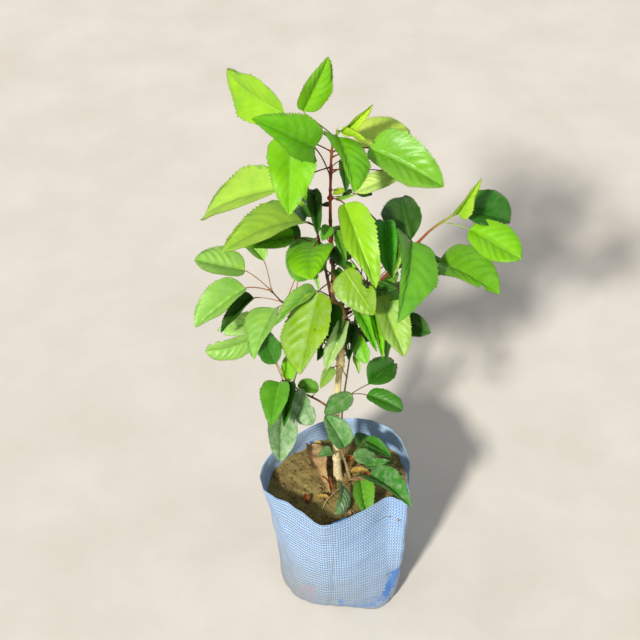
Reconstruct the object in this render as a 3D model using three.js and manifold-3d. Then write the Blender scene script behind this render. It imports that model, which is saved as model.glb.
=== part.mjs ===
// Potted hibiscus shrub in an open woven grow bag.
// Millimetres, +Z up, +Y towards the back. The origin is the middle of the
// bag's flat underside.
import * as THREE from 'three';
import { mergeVertices } from 'three/addons/utils/BufferGeometryUtils.js';
import Module from 'manifold-3d';

const wasm = await Module();
wasm.setup();

// ---- driving dimensions ---------------------------------------------------
const GAP = 0.35; // clearance kept between neighbouring solids

const RIM_Z = 220; // height of the open bag
const WALL = 1.8; // doubled weave plus the seam lining
const FLOOR = 2.0; // bag floor
const SOIL_Z = 179; // potting mix level at the wall
const STEM_Z = 176; // level round the stems
const BAG_STEPS = 28; // points round the bag

// plan of the bag: rim x, rim y, foot x, foot y, and how late on the way up
// the side swings out from the foot to the rim
const BAG_SIDES = [
  [95, -32, 84, -30, 0.4],
  [96, 15, 85, 25, 0.5],
  [79, 60, 74, 68, 0.7],
  [45, 83, 40, 80, 1.0],
  [9, 88, 0, 82, 1.0],
  [-34, 76, -40, 78, 1.0],
  [-76, 37, -70, 62, 1.6],
  [-104, 2, -83, 20, 2.0],
  [-105, -45, -82, -28, 2.0],
  [-67, -77, -59, -66, 1.6],
  [-22, -112, -15, -79, 1.1],
  [25, -93, 30, -83, 0.8],
  [68, -63, 66, -83, 0.6],
  [91, -72, 80, -58, 0.5],
];
const BAG_LEVELS = [0, 12, 34, 75, 120, 155, SOIL_Z, 203, RIM_Z];
const FOOT_INSET = { 0: 0.93, 12: 0.985 }; // rounded bottom edge

// limbs: name, radius at the start, radius at the end, sides, rings, share of
// the whole length that the solid covers, and the knots of the path
const TRUNK_FLARE = 1.9; // how much wider the trunk is at the soil
const TRUNK_FLARE_H = 16;
const TRUNK_KNOT = { z: 486, extra: 1.0, span: 12 }; // old pruning knot
const LIMBS = [
  ['trunk', 5.6, 3.7, 10, 13, 1,
    [[-1, 13, STEM_Z + GAP], [-4, 12, 237], [-4, 11, 331], [2, 9, 423], [5, 8, 458], [3, 8, 488], [-10, 7, 509]]],
  ['leader', 2.9, 1.2, 8, 14, 1,
    [[-10, 7, 509 + GAP], [-11, 6, 527], [-12, 5, 588], [-14, 4, 631], [-14, 2, 706], [-12, 0, 750], [-6, -2, 770]]],
  ['left_shoot', 2.2, 1.2, 6, 8, 0.85,
    [[-11, 7, 512], [-17, 8, 542], [-28, 9, 604], [-36, 9, 654], [-39, 9, 672]]],
  ['right_shoot', 2.4, 1.3, 8, 11, 1,
    [[1, 8, 484], [21, 5, 511], [56, -2, 559], [91, -22, 625], [115, -36, 665], [132, -46, 686]]],
  ['side_stem', 1.9, 1.1, 6, 11, 0.97,
    [[16, 13, STEM_Z + GAP], [7, 9, 221], [3, 1, 282], [6, -7, 366], [13, -11, 448]]],
  ['low_left_bough', 1.8, 1.1, 6, 6, 0.9,
    [[-4, 11, 306], [-29, 11, 330], [-56, 13, 349], [-76, 10, 367]]],
  ['left_bough', 2.1, 0.9, 6, 7, 0.95,
    [[3, 8, 497], [-20, 7, 505], [-37, 9, 503], [-66, 14, 498], [-81, 15, 508], [-88, 15, 518]]],
  ['low_right_bough', 1.9, 1.2, 6, 5, 0.95,
    [[4, 8, 464], [20, 10, 452], [41, 16, 443], [62, 20, 441]]],
  ['basal_shoot', 1.6, 1.1, 6, 4, 1,
    [[14, 6, STEM_Z + GAP], [12, -6, 190], [13, -20, 207]]],
];

// foliage: name, middle, half sizes of the dense heart, then each outer leaf as
// compass bearing, slope, reach from the middle and angular spread
const FOLIAGE = [
  ['top_left_leaves', [-82, 5, 795], [42, 65, 26],
    [[121, -3, 110, 17], [-47, -26, 79, 17], [-106, 25, 80, 17], [-65, 27, 69, 19], [-72, -7, 85, 17], [-36, 6, 67, 19]]],
  ['top_leaf', [-31, 18, 817], [15, 11, 23],
    [[45, 57, 37, 34], [-145, -37, 32, 38], [20, -29, 22, 42]]],
  ['upper_left_leaves', [-32, -24, 696], [36, 38, 50],
    [[174, 53, 88, 17], [-142, 32, 70, 19], [-160, 43, 78, 17], [-118, 11, 65, 20], [50, 20, 61, 21], [37, -66, 67, 19]]],
  ['far_left_upper_leaf', [-126, 16, 660], [36, 25, 33],
    [[146, -42, 71, 18], [-22, 29, 65, 20], [14, 49, 57, 22], [-56, 31, 53, 24], [-8, 39, 63, 20], [-173, -31, 50, 26]]],
  ['left_upper_leaves', [-92, -19, 624], [37, 63, 48],
    [[-119, 27, 110, 17], [113, -33, 105, 17], [-85, 40, 102, 17], [-101, 34, 112, 17], [-30, 41, 75, 17], [-54, 44, 84, 17]]],
  ['left_outer_leaves', [-144, -8, 534], [28, 33, 30],
    [[124, 43, 59, 22], [-136, -27, 58, 22], [35, -34, 51, 25], [72, 35, 55, 23], [-101, -55, 51, 25], [152, 40, 57, 23]]],
  ['left_mid_leaves', [-124, -19, 473], [36, 37, 37],
    [[-50, 40, 74, 18], [-8, 47, 70, 19], [171, -34, 62, 21], [-74, 9, 58, 22], [-32, 46, 72, 18], [60, -17, 53, 24]]],
  ['left_edge_leaf', [-84, 37, 388], [19, 21, 19],
    [[123, 25, 42, 30], [-45, -38, 38, 32], [-132, 20, 31, 39], [178, 30, 31, 40], [-70, 55, 28, 42]]],
  ['inner_left_leaves', [-39, -14, 631], [21, 44, 42],
    [[-69, -63, 72, 18], [-88, -13, 70, 19], [102, 36, 64, 20], [-122, -39, 55, 23], [-112, -14, 58, 22], [64, 65, 55, 23]]],
  ['centre_left_leaves', [-49, -50, 522], [27, 35, 27],
    [[-93, -40, 65, 20], [76, 31, 52, 25], [7, 38, 46, 27], [-40, 10, 45, 28], [-167, 0, 36, 34], [-135, -47, 42, 30]]],
  ['crown_centre_leaves', [9, -17, 704], [26, 50, 70],
    [[-69, -48, 125, 17], [41, 71, 104, 17], [-88, 31, 93, 17], [64, -40, 85, 17], [-172, 68, 86, 17], [148, -47, 59, 22]]],
  ['top_right_leaves', [59, 14, 723], [38, 52, 32],
    [[-41, -5, 76, 17], [-163, -41, 62, 21], [89, 6, 72, 18], [-77, 6, 72, 18], [142, 17, 58, 22], [-38, 28, 57, 22]]],
  ['centre_leaves', [8, -11, 586], [21, 35, 34],
    [[-56, -39, 74, 18], [-54, -14, 55, 23], [-167, 67, 50, 25], [100, 19, 51, 25], [-98, -44, 52, 25], [-54, -24, 63, 20]]],
  ['right_upper_leaf', [74, 37, 625], [17, 27, 12],
    [[-74, -23, 40, 31], [-50, 22, 38, 33], [86, -7, 38, 33], [-127, -10, 31, 39]]],
  ['right_inner_leaves', [70, -60, 624], [27, 62, 25],
    [[-95, -7, 97, 17], [115, 9, 70, 18], [-51, 5, 60, 22], [108, 60, 42, 30], [0, 14, 40, 31], [-74, -1, 72, 18]]],
  ['right_tip_leaves', [161, -34, 690], [28, 23, 37],
    [[38, -45, 72, 18], [-107, 70, 54, 24], [-139, 16, 45, 28], [45, -19, 49, 26], [41, -28, 57, 23], [-129, 47, 44, 29]]],
  ['right_spray_leaf', [176, -66, 659], [23, 21, 9],
    [[-30, -19, 37, 34], [114, 19, 34, 36], [172, 7, 33, 37], [-101, -9, 30, 41], [48, 18, 28, 42], [147, 8, 34, 36]]],
  ['right_outer_leaf', [142, -63, 614], [32, 36, 15],
    [[-51, 3, 63, 21], [120, -23, 56, 23], [154, -17, 55, 23], [-22, 28, 41, 31], [-37, 17, 50, 26], [52, 35, 32, 38]]],
  ['right_low_leaves', [62, -10, 493], [38, 31, 48],
    [[-151, -87, 71, 18], [76, 52, 61, 21], [7, -29, 62, 21], [-69, -28, 53, 24], [91, -64, 64, 20], [58, -30, 54, 24]]],
  ['low_front_leaves', [3, -29, 455], [25, 34, 43],
    [[132, 66, 68, 19], [-161, -60, 64, 20], [-119, 28, 59, 22], [-154, 57, 60, 21], [69, -46, 58, 22], [31, -65, 57, 23]]],
  ['low_left_leaves', [-65, -26, 349], [28, 37, 39],
    [[-108, -52, 72, 18], [-114, 21, 63, 21], [-166, 48, 60, 22], [51, 5, 58, 22], [-135, 36, 60, 21], [-95, 58, 56, 23]]],
  ['low_right_leaves', [33, -20, 382], [37, 32, 24],
    [[-152, -17, 65, 20], [50, 2, 63, 21], [-34, -9, 58, 22], [61, 44, 43, 30], [55, 23, 51, 25], [-157, -47, 41, 31]]],
  ['low_centre_leaves', [-9, -14, 277], [17, 14, 24],
    [[123, 57, 39, 32], [-167, -50, 33, 37], [3, 49, 34, 36], [54, 69, 37, 34], [-108, 50, 26, 42], [100, -72, 32, 38]]],
  ['basal_right_leaves', [54, -37, 237], [28, 48, 25],
    [[-63, 12, 91, 17], [110, -34, 58, 22], [-57, 39, 59, 22], [-59, 29, 70, 19], [132, -5, 53, 24], [-140, 30, 42, 30]]],
  ['basal_centre_leaves', [47, 13, 244], [18, 21, 12],
    [[128, -13, 39, 32], [-49, 6, 36, 35]]],
  ['basal_front_leaves', [19, -52, 210], [20, 21, 13],
    [[22, 33, 34, 36], [-138, -13, 37, 34], [115, -18, 35, 35], [-57, -16, 34, 36], [-23, 15, 32, 38], [126, 7, 35, 35]]],
  ['back_top_leaves', [7, 55, 706], [73, 31, 18],
    [[155, -10, 95, 17], [-29, 18, 76, 17], [2, -3, 97, 17], [-167, -19, 62, 21], [-12, 8, 87, 17]]],
  ['back_upper_leaves', [-76, 54, 621], [39, 48, 47],
    [[8, 61, 79, 17], [73, -33, 75, 17], [-159, -22, 60, 22], [47, 50, 67, 19], [-50, 67, 67, 19]]],
  ['back_right_leaves', [62, 51, 551], [54, 59, 64],
    [[-155, 53, 98, 17], [120, -8, 93, 17], [35, -54, 96, 17], [-89, 48, 93, 17], [-31, 8, 84, 17]]],
  ['back_left_leaves', [-21, 69, 536], [42, 47, 38],
    [[91, -38, 79, 17], [-80, 39, 74, 18], [-23, 28, 70, 19], [-50, 35, 65, 20], [-137, 15, 55, 23]]],
  ['back_low_leaves', [-51, 67, 414], [63, 56, 66],
    [[54, -50, 109, 17], [100, -54, 107, 17], [-56, 35, 98, 17], [167, -22, 97, 17], [-81, 55, 98, 17]]],
  ['back_low_right_leaves', [50, 68, 440], [57, 49, 43],
    [[-91, 40, 77, 17], [157, -39, 78, 17], [30, 6, 80, 17], [26, -53, 70, 19], [-173, 44, 68, 19]]],];
const UNEVEN = 0.05; // share by which a mass of leaves swells and dips
const LEAF_GREENS = [0x5fae2e, 0x4f9a32, 0x6fbf2b, 0x3f8a3c, 0x57a52f];

// ---- helpers --------------------------------------------------------------
const rad = THREE.MathUtils.degToRad;

function seeded(seed) {
  let a = seed >>> 0;
  return () => {
    a = (a + 0x6d2b79f5) >>> 0;
    let t = Math.imul(a ^ (a >>> 15), 1 | a);
    t = (t + Math.imul(t ^ (t >>> 7), 61 | t)) ^ t;
    return ((t ^ (t >>> 14)) >>> 0) / 4294967296;
  };
}

function geometryFrom(points, triangles) {
  const g = new THREE.BufferGeometry();
  g.setAttribute('position', new THREE.Float32BufferAttribute(points.flat(), 3));
  g.setIndex(triangles.flat());
  return g;
}

function solidOf(geometry) {
  const bare = new THREE.BufferGeometry();
  bare.setAttribute('position', geometry.getAttribute('position').clone());
  if (geometry.index) bare.setIndex(geometry.index.clone());
  const welded = mergeVertices(bare, 1e-4);
  return new wasm.Manifold(new wasm.Mesh({
    numProp: 3,
    vertProperties: new Float32Array(welded.getAttribute('position').array),
    triVerts: new Uint32Array(welded.index.array),
  }));
}

// the biggest connected body of a solid, as plain geometry
function mainBody(solid) {
  const m = solid.getMesh();
  const count = m.vertProperties.length / m.numProp;
  const at = (i) => [m.vertProperties[i * m.numProp], m.vertProperties[i * m.numProp + 1], m.vertProperties[i * m.numProp + 2]];
  const root = Array.from({ length: count }, (_, i) => i);
  const find = (i) => {
    while (root[i] !== i) { root[i] = root[root[i]]; i = root[i]; }
    return i;
  };
  if (m.mergeFromVert) {
    for (let i = 0; i < m.mergeFromVert.length; i += 1) root[find(m.mergeFromVert[i])] = find(m.mergeToVert[i]);
  }
  for (let t = 0; t < m.triVerts.length; t += 3) {
    root[find(m.triVerts[t])] = find(m.triVerts[t + 1]);
    root[find(m.triVerts[t + 1])] = find(m.triVerts[t + 2]);
  }
  const volumes = new Map();
  for (let t = 0; t < m.triVerts.length; t += 3) {
    const [a, b, c] = [0, 1, 2].map((k) => new THREE.Vector3(...at(m.triVerts[t + k])));
    const key = find(m.triVerts[t]);
    volumes.set(key, (volumes.get(key) ?? 0) + a.dot(b.clone().cross(c)) / 6);
  }
  const best = [...volumes.entries()].sort((p, q) => q[1] - p[1])[0][0];
  const points = [];
  const triangles = [];
  for (let t = 0; t < m.triVerts.length; t += 3) {
    if (find(m.triVerts[t]) !== best) continue;
    const n = points.length;
    for (let k = 0; k < 3; k += 1) points.push(at(m.triVerts[t + k]));
    triangles.push([n, n + 1, n + 2]);
  }
  return mergeVertices(geometryFrom(points, triangles), 1e-4);
}

function cut(geometry, tools) {
  if (!tools.length) return geometry;
  let solid = solidOf(geometry);
  for (const tool of tools) solid = solid.subtract(solidOf(tool));
  return mainBody(solid);
}

const group = new THREE.Group();
group.name = 'hibiscus_in_grow_bag';
function addNode(name, geometry, color, roughness) {
  const flat = geometry.index ? geometry.toNonIndexed() : geometry.clone();
  flat.computeVertexNormals();
  const mesh = new THREE.Mesh(flat, new THREE.MeshStandardMaterial({ color, roughness, metalness: 0 }));
  mesh.name = name;
  group.add(mesh);
}

// ---- grow bag -------------------------------------------------------------
function bagOutline(z) {
  const t = z / RIM_Z;
  const knots = BAG_SIDES.map(([rx, ry, fx, fy, late]) => {
    const k = t ** late;
    const s = FOOT_INSET[z] ?? 1;
    return new THREE.Vector3((fx + (rx - fx) * k) * s, (fy + (ry - fy) * k) * s, z);
  });
  const loop = new THREE.CatmullRomCurve3(knots, true, 'centripetal');
  return Array.from({ length: BAG_STEPS }, (_, i) => loop.getPoint(i / BAG_STEPS));
}

function insetOutline(z, inset) {
  const ring = bagOutline(z);
  return ring.map((p, i) => {
    const a = ring[(i + BAG_STEPS - 1) % BAG_STEPS];
    const b = ring[(i + 1) % BAG_STEPS];
    const e1 = p.clone().sub(a).normalize();
    const e2 = b.clone().sub(p).normalize();
    const n = new THREE.Vector3(-(e1.y + e2.y), e1.x + e2.x, 0).normalize();
    const half = Math.max(0.6, n.dot(new THREE.Vector3(-e1.y, e1.x, 0)));
    return p.clone().addScaledVector(n, inset / half);
  });
}

function stack(rings, turned = false) {
  const points = [];
  const triangles = [];
  rings.forEach((ring) => ring.forEach((p) => points.push([p.x, p.y, p.z])));
  const n = rings[0].length;
  for (let r = 0; r + 1 < rings.length; r += 1) {
    for (let i = 0; i < n; i += 1) {
      const j = (i + 1) % n;
      const [a, b, c, d] = [r * n + i, r * n + j, (r + 1) * n + i, (r + 1) * n + j];
      if (turned) triangles.push([a, b, c], [b, d, c]);
      else triangles.push([a, b, d], [a, d, c]);
    }
  }
  return { points, triangles, n, last: (rings.length - 1) * n };
}

function fan(shape, first, up) {
  const ring = Array.from({ length: shape.n }, (_, i) => shape.points[first + i]);
  const mid = [0, 1, 2].map((k) => ring.reduce((s, p) => s + p[k], 0) / shape.n);
  const m = shape.points.push(mid) - 1;
  for (let i = 0; i < shape.n; i += 1) {
    const j = (i + 1) % shape.n;
    shape.triangles.push(up ? [first + i, first + j, m] : [first + j, first + i, m]);
  }
}

function atHeight(ring, z) {
  return ring.map((p) => new THREE.Vector3(p.x, p.y, z));
}

function bagGeometry() {
  const outside = BAG_LEVELS.map((z) => bagOutline(z));
  const inside = BAG_LEVELS.slice(1).reverse().map((z) => insetOutline(z, WALL));
  const floor = atHeight(insetOutline(0, WALL), FLOOR);
  const shape = stack([...outside, ...inside, floor]);
  fan(shape, 0, false);
  fan(shape, shape.last, true);
  return geometryFrom(shape.points, shape.triangles);
}

function soilGeometry() {
  const random = seeded(41);
  const waves = Array.from({ length: 4 }, () => [0.02 + 0.03 * random(), 0.02 + 0.03 * random(), 6.28 * random()]);
  const relief = (x, y) => waves.reduce((s, [a, b, c]) => s + Math.sin(x * a + y * b + c), 0);
  const inset = WALL + GAP;
  const sides = BAG_LEVELS.filter((z) => z > 0 && z < SOIL_Z).map((z) => insetOutline(z, inset));
  const foot = atHeight(insetOutline(0, inset), FLOOR + GAP);
  const edge = insetOutline(SOIL_Z, inset);
  const tops = [0.8, 0.58, 0.36].map((k) => edge.map((p) => {
    const x = p.x * k;
    const y = p.y * k;
    return new THREE.Vector3(x, y, k < 0.4 ? STEM_Z : SOIL_Z - 1 + 1.1 * relief(x, y));
  }));
  // its side is divided the same way as the inside of the bag
  const shape = stack([foot, ...sides, edge, ...tops], true);
  fan(shape, 0, false);
  fan(shape, shape.last, true);
  return geometryFrom(shape.points, shape.triangles);
}

// ---- limbs ----------------------------------------------------------------
function limbGeometry([name, r0, r1, sides, rings, share, knots], grow = 0) {
  const path = new THREE.CatmullRomCurve3(knots.map((k) => new THREE.Vector3(...k)), false, 'centripetal');
  const frames = path.computeFrenetFrames(rings, false);
  const loops = [];
  for (let i = 0; i <= rings; i += 1) {
    const u = (i / rings) * share;
    const p = path.getPointAt(u);
    let r = r0 + (r1 - r0) * u ** 0.9;
    if (name === 'trunk') {
      r += TRUNK_FLARE * Math.exp(-(p.z - STEM_Z) / TRUNK_FLARE_H);
      r += TRUNK_KNOT.extra * Math.exp(-(((p.z - TRUNK_KNOT.z) / TRUNK_KNOT.span) ** 2));
    }
    const tangent = path.getTangentAt(u);
    const level = (i === 0 && ['trunk', 'leader', 'side_stem', 'basal_shoot'].includes(name)) || (i === rings && name === 'trunk');
    if (level) tangent.set(0, 0, 1);
    const side = new THREE.Vector3(1, 0, 0).addScaledVector(tangent, -tangent.x).normalize();
    if (Math.abs(tangent.x) > 0.9) side.set(0, 1, 0).addScaledVector(tangent, -tangent.y).normalize();
    const across = tangent.clone().cross(side);
    if (i === 0) p.addScaledVector(tangent, -grow);
    if (i === rings) p.addScaledVector(tangent, grow);
    loops.push(Array.from({ length: sides }, (_, k) => {
      const a = (2 * Math.PI * k) / sides;
      return p.clone().addScaledVector(side, Math.cos(a) * (r + grow)).addScaledVector(across, Math.sin(a) * (r + grow));
    }));
  }
  const shape = stack(loops);
  fan(shape, 0, false);
  fan(shape, shape.last, true);
  return geometryFrom(shape.points, shape.triangles);
}

// ---- foliage --------------------------------------------------------------
function bearing(az, el) {
  return new THREE.Vector3(Math.cos(rad(el)) * Math.cos(rad(az)), Math.cos(rad(el)) * Math.sin(rad(az)), Math.sin(rad(el)));
}

function heart(semi, d) {
  return 1 / Math.hypot(d.x / semi[0], d.y / semi[1], d.z / semi[2]);
}

function massOf([name, middle, semi, leaves], index) {
  const random = seeded(300 + index);
  const waves = Array.from({ length: 4 }, () => [bearing(360 * random(), 180 * random() - 90), 4 + 5 * random(), 6.28 * random()]);
  const big = Math.max(...leaves.map((l) => l[2])) > 131;
  const sphere = mergeVertices(new THREE.IcosahedronGeometry(1, big ? 3 : 2).deleteAttribute('uv').deleteAttribute('normal'), 1e-4);
  const at = sphere.getAttribute('position');
  const mass = { name, c: new THREE.Vector3(...middle), semi, dirs: [], r: [], index: sphere.index };
  for (let i = 0; i < at.count; i += 1) {
    const d = new THREE.Vector3().fromBufferAttribute(at, i).normalize();
    const base = heart(semi, d);
    let r = base;
    for (const [az, el, reach, spread] of leaves) {
      const u = bearing(az, el);
      const off = THREE.MathUtils.radToDeg(Math.acos(THREE.MathUtils.clamp(d.dot(u), -1, 1)));
      r = Math.max(r, base + Math.max(0, reach - heart(semi, u)) * Math.exp(-((off / spread) ** 1.6)));
    }
    r *= 1 + UNEVEN * waves.reduce((s, [w, f, o]) => s + Math.sin(f * d.dot(w) + o), 0) / 4;
    mass.dirs.push(d);
    mass.r.push(r);
  }
  // the furthest leaf tips keep their full reach
  for (const [az, el, reach] of leaves) {
    const u = bearing(az, el);
    const k = mass.dirs.map((d) => d.dot(u)).reduce((best, v, i, all) => (v > all[best] ? i : best), 0);
    if (mass.r[k] < reach) mass.r[k] = reach;
  }
  return mass;
}

function massGeometry(mass, grow = 0) {
  const points = mass.dirs.map((d, i) => mass.c.clone().addScaledVector(d, mass.r[i] + grow).toArray());
  const g = geometryFrom(points, []);
  g.setIndex(mass.index.clone());
  return g;
}

// holds every point of a mass on its own side of a plane
function holdBehind(mass, point, normal) {
  mass.dirs.forEach((d, i) => {
    const along = d.dot(normal);
    if (along <= 1e-6) return;
    const room = point.clone().sub(mass.c).dot(normal) - GAP;
    mass.r[i] = Math.min(mass.r[i], Math.max(room / along, 1));
  });
}

function keepApart(a, b) {
  const n = b.c.clone().sub(a.c);
  const span = n.length();
  n.normalize();
  const [ra, rb] = [heart(a.semi, n), heart(b.semi, n)];
  const share = THREE.MathUtils.clamp(ra / (ra + rb), 0.25, 0.75);
  const p = a.c.clone().addScaledVector(n, span * share);
  holdBehind(a, p, n);
  holdBehind(b, p, n.clone().negate());
}

// ---- build ----------------------------------------------------------------
const bag = bagGeometry();
const soil = soilGeometry();
addNode('grow_bag', bag, 0xc4dcee, 0.55);
addNode('soil', soil, 0x6b5138, 0.95);

const limbs = [];
for (const row of LIMBS) {
  const clearOf = limbs.filter((l) => !(row[0] === 'leader' && l.row[0] === 'trunk')).map((l) => l.wide);
  const body = cut(limbGeometry(row), row[0] === 'trunk' ? [] : clearOf);
  limbs.push({ row, body, wide: limbGeometry(row, GAP) });
  addNode(row[0], body, row[0] === 'leader' ? 0x8a3f24 : 0xd2b98f, 0.8);
}

const masses = FOLIAGE.map((row, i) => massOf(row, i));
for (let i = 0; i < masses.length; i += 1) {
  for (let j = i + 1; j < masses.length; j += 1) {
    const shared = solidOf(massGeometry(masses[i], 0.3)).intersect(solidOf(massGeometry(masses[j], 0.3)));
    if (shared.volume() > 1e-3) keepApart(masses[i], masses[j]);
  }
}
masses.forEach((mass, i) => {
  const low = Math.min(...mass.dirs.map((d, k) => mass.c.z + d.z * mass.r[k]));
  const tools = limbs.map((l) => l.wide);
  if (low < RIM_Z) tools.push(bag);
  addNode(mass.name, cut(massGeometry(mass), tools), LEAF_GREENS[i % LEAF_GREENS.length], 0.6);
});

export default group;
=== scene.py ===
# Potted hibiscus shrub in an open woven grow bag: looks, in metres, in the CAD frame.
import math
import random

import bpy
import numpy as np
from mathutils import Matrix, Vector


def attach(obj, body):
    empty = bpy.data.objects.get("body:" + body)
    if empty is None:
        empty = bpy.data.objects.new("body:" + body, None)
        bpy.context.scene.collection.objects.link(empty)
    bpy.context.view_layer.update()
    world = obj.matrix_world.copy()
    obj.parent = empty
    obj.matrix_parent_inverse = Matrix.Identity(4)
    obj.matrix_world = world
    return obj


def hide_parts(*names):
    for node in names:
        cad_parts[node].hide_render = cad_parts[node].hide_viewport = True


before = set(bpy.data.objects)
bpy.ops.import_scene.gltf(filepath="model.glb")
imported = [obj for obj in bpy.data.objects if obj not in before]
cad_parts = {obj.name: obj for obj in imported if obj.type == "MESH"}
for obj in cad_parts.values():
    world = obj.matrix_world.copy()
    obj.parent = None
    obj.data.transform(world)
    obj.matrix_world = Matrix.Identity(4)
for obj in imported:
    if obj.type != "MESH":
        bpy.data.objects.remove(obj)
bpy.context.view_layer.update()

MM = 0.001

# ---------------------------------------------------------------------------
# measured shape, in millimetres and degrees
# ---------------------------------------------------------------------------
SOIL_Z, RIM_Z, STEM_Z = 179.0, 220.0, 176.0

# plan of the bag: rim x, y, foot x, y, and how late the side swings out
BAG_SIDES = [
    (95, -32, 84, -30, 0.4), (96, 15, 85, 25, 0.5), (79, 60, 74, 68, 0.7), (45, 83, 40, 80, 1.0),
    (9, 88, 0, 82, 1.0), (-34, 76, -40, 78, 1.0), (-76, 37, -70, 62, 1.6), (-104, 2, -83, 20, 2.0),
    (-105, -45, -82, -28, 2.0), (-67, -77, -59, -66, 1.6), (-22, -112, -15, -79, 1.1), (25, -93, 30, -83, 0.8),
    (68, -63, 66, -83, 0.6), (91, -72, 80, -58, 0.5),
]

# limbs: radius at the start and end, then the knots of the path
LIMBS = {
    "trunk": (5.6, 3.7, [(-1, 13, 176), (-4, 12, 237), (-4, 11, 331), (2, 9, 423), (5, 8, 458), (3, 8, 488), (-10, 7, 509)]),
    "leader": (3.0, 1.1, [(-10, 7, 508), (-11, 6, 527), (-10, 6, 552), (-12, 5, 588), (-14, 4, 631), (-14, 2, 706), (-12, 0, 750), (-6, -2, 770)]),
    "left_shoot": (2.2, 1.0, [(-12, 7, 510), (-17, 8, 542), (-23, 9, 576), (-28, 9, 604), (-36, 9, 654), (-39, 9, 672)]),
    "right_shoot": (2.5, 1.2, [(2, 8, 486), (21, 5, 511), (43, 1, 541), (56, -2, 559), (73, -10, 591), (91, -22, 625), (103, -30, 648), (115, -36, 665), (132, -46, 686)]),
    "side_stem": (2.0, 0.9, [(16, 13, 176), (7, 9, 221), (2, 7, 245), (3, 3, 282), (3, -2, 325), (6, -7, 366), (11, -10, 421), (13, -11, 448)]),
    "side_twig": (1.1, 0.8, [(4, -3, 333), (10, -9, 354), (14, -13, 364)]),
    "low_left_bough": (1.8, 0.9, [(-4, 11, 304), (-16, 10, 319), (-29, 11, 330), (-43, 12, 339), (-56, 13, 349), (-68, 12, 361), (-76, 10, 367)]),
    "left_bough": (2.0, 0.8, [(-5, 7, 498), (-20, 7, 505), (-37, 9, 503), (-52, 12, 501), (-66, 14, 498), (-74, 15, 499), (-81, 15, 508), (-88, 15, 518)]),
    "low_right_bough": (1.9, 1.0, [(4, 8, 462), (20, 10, 452), (41, 16, 443), (62, 20, 441)]),
    "basal_shoot": (1.5, 1.0, [(14, 6, 176), (12, -6, 190), (13, -20, 207)]),
    "sucker": (1.0, 0.9, [(-26, -55, 179), (-22, -46, 181), (-18, -39, 185)]),
}
LIMB_NODES = ["trunk", "leader", "left_shoot", "right_shoot", "side_stem", "low_left_bough", "left_bough", "low_right_bough", "basal_shoot"]

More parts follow.
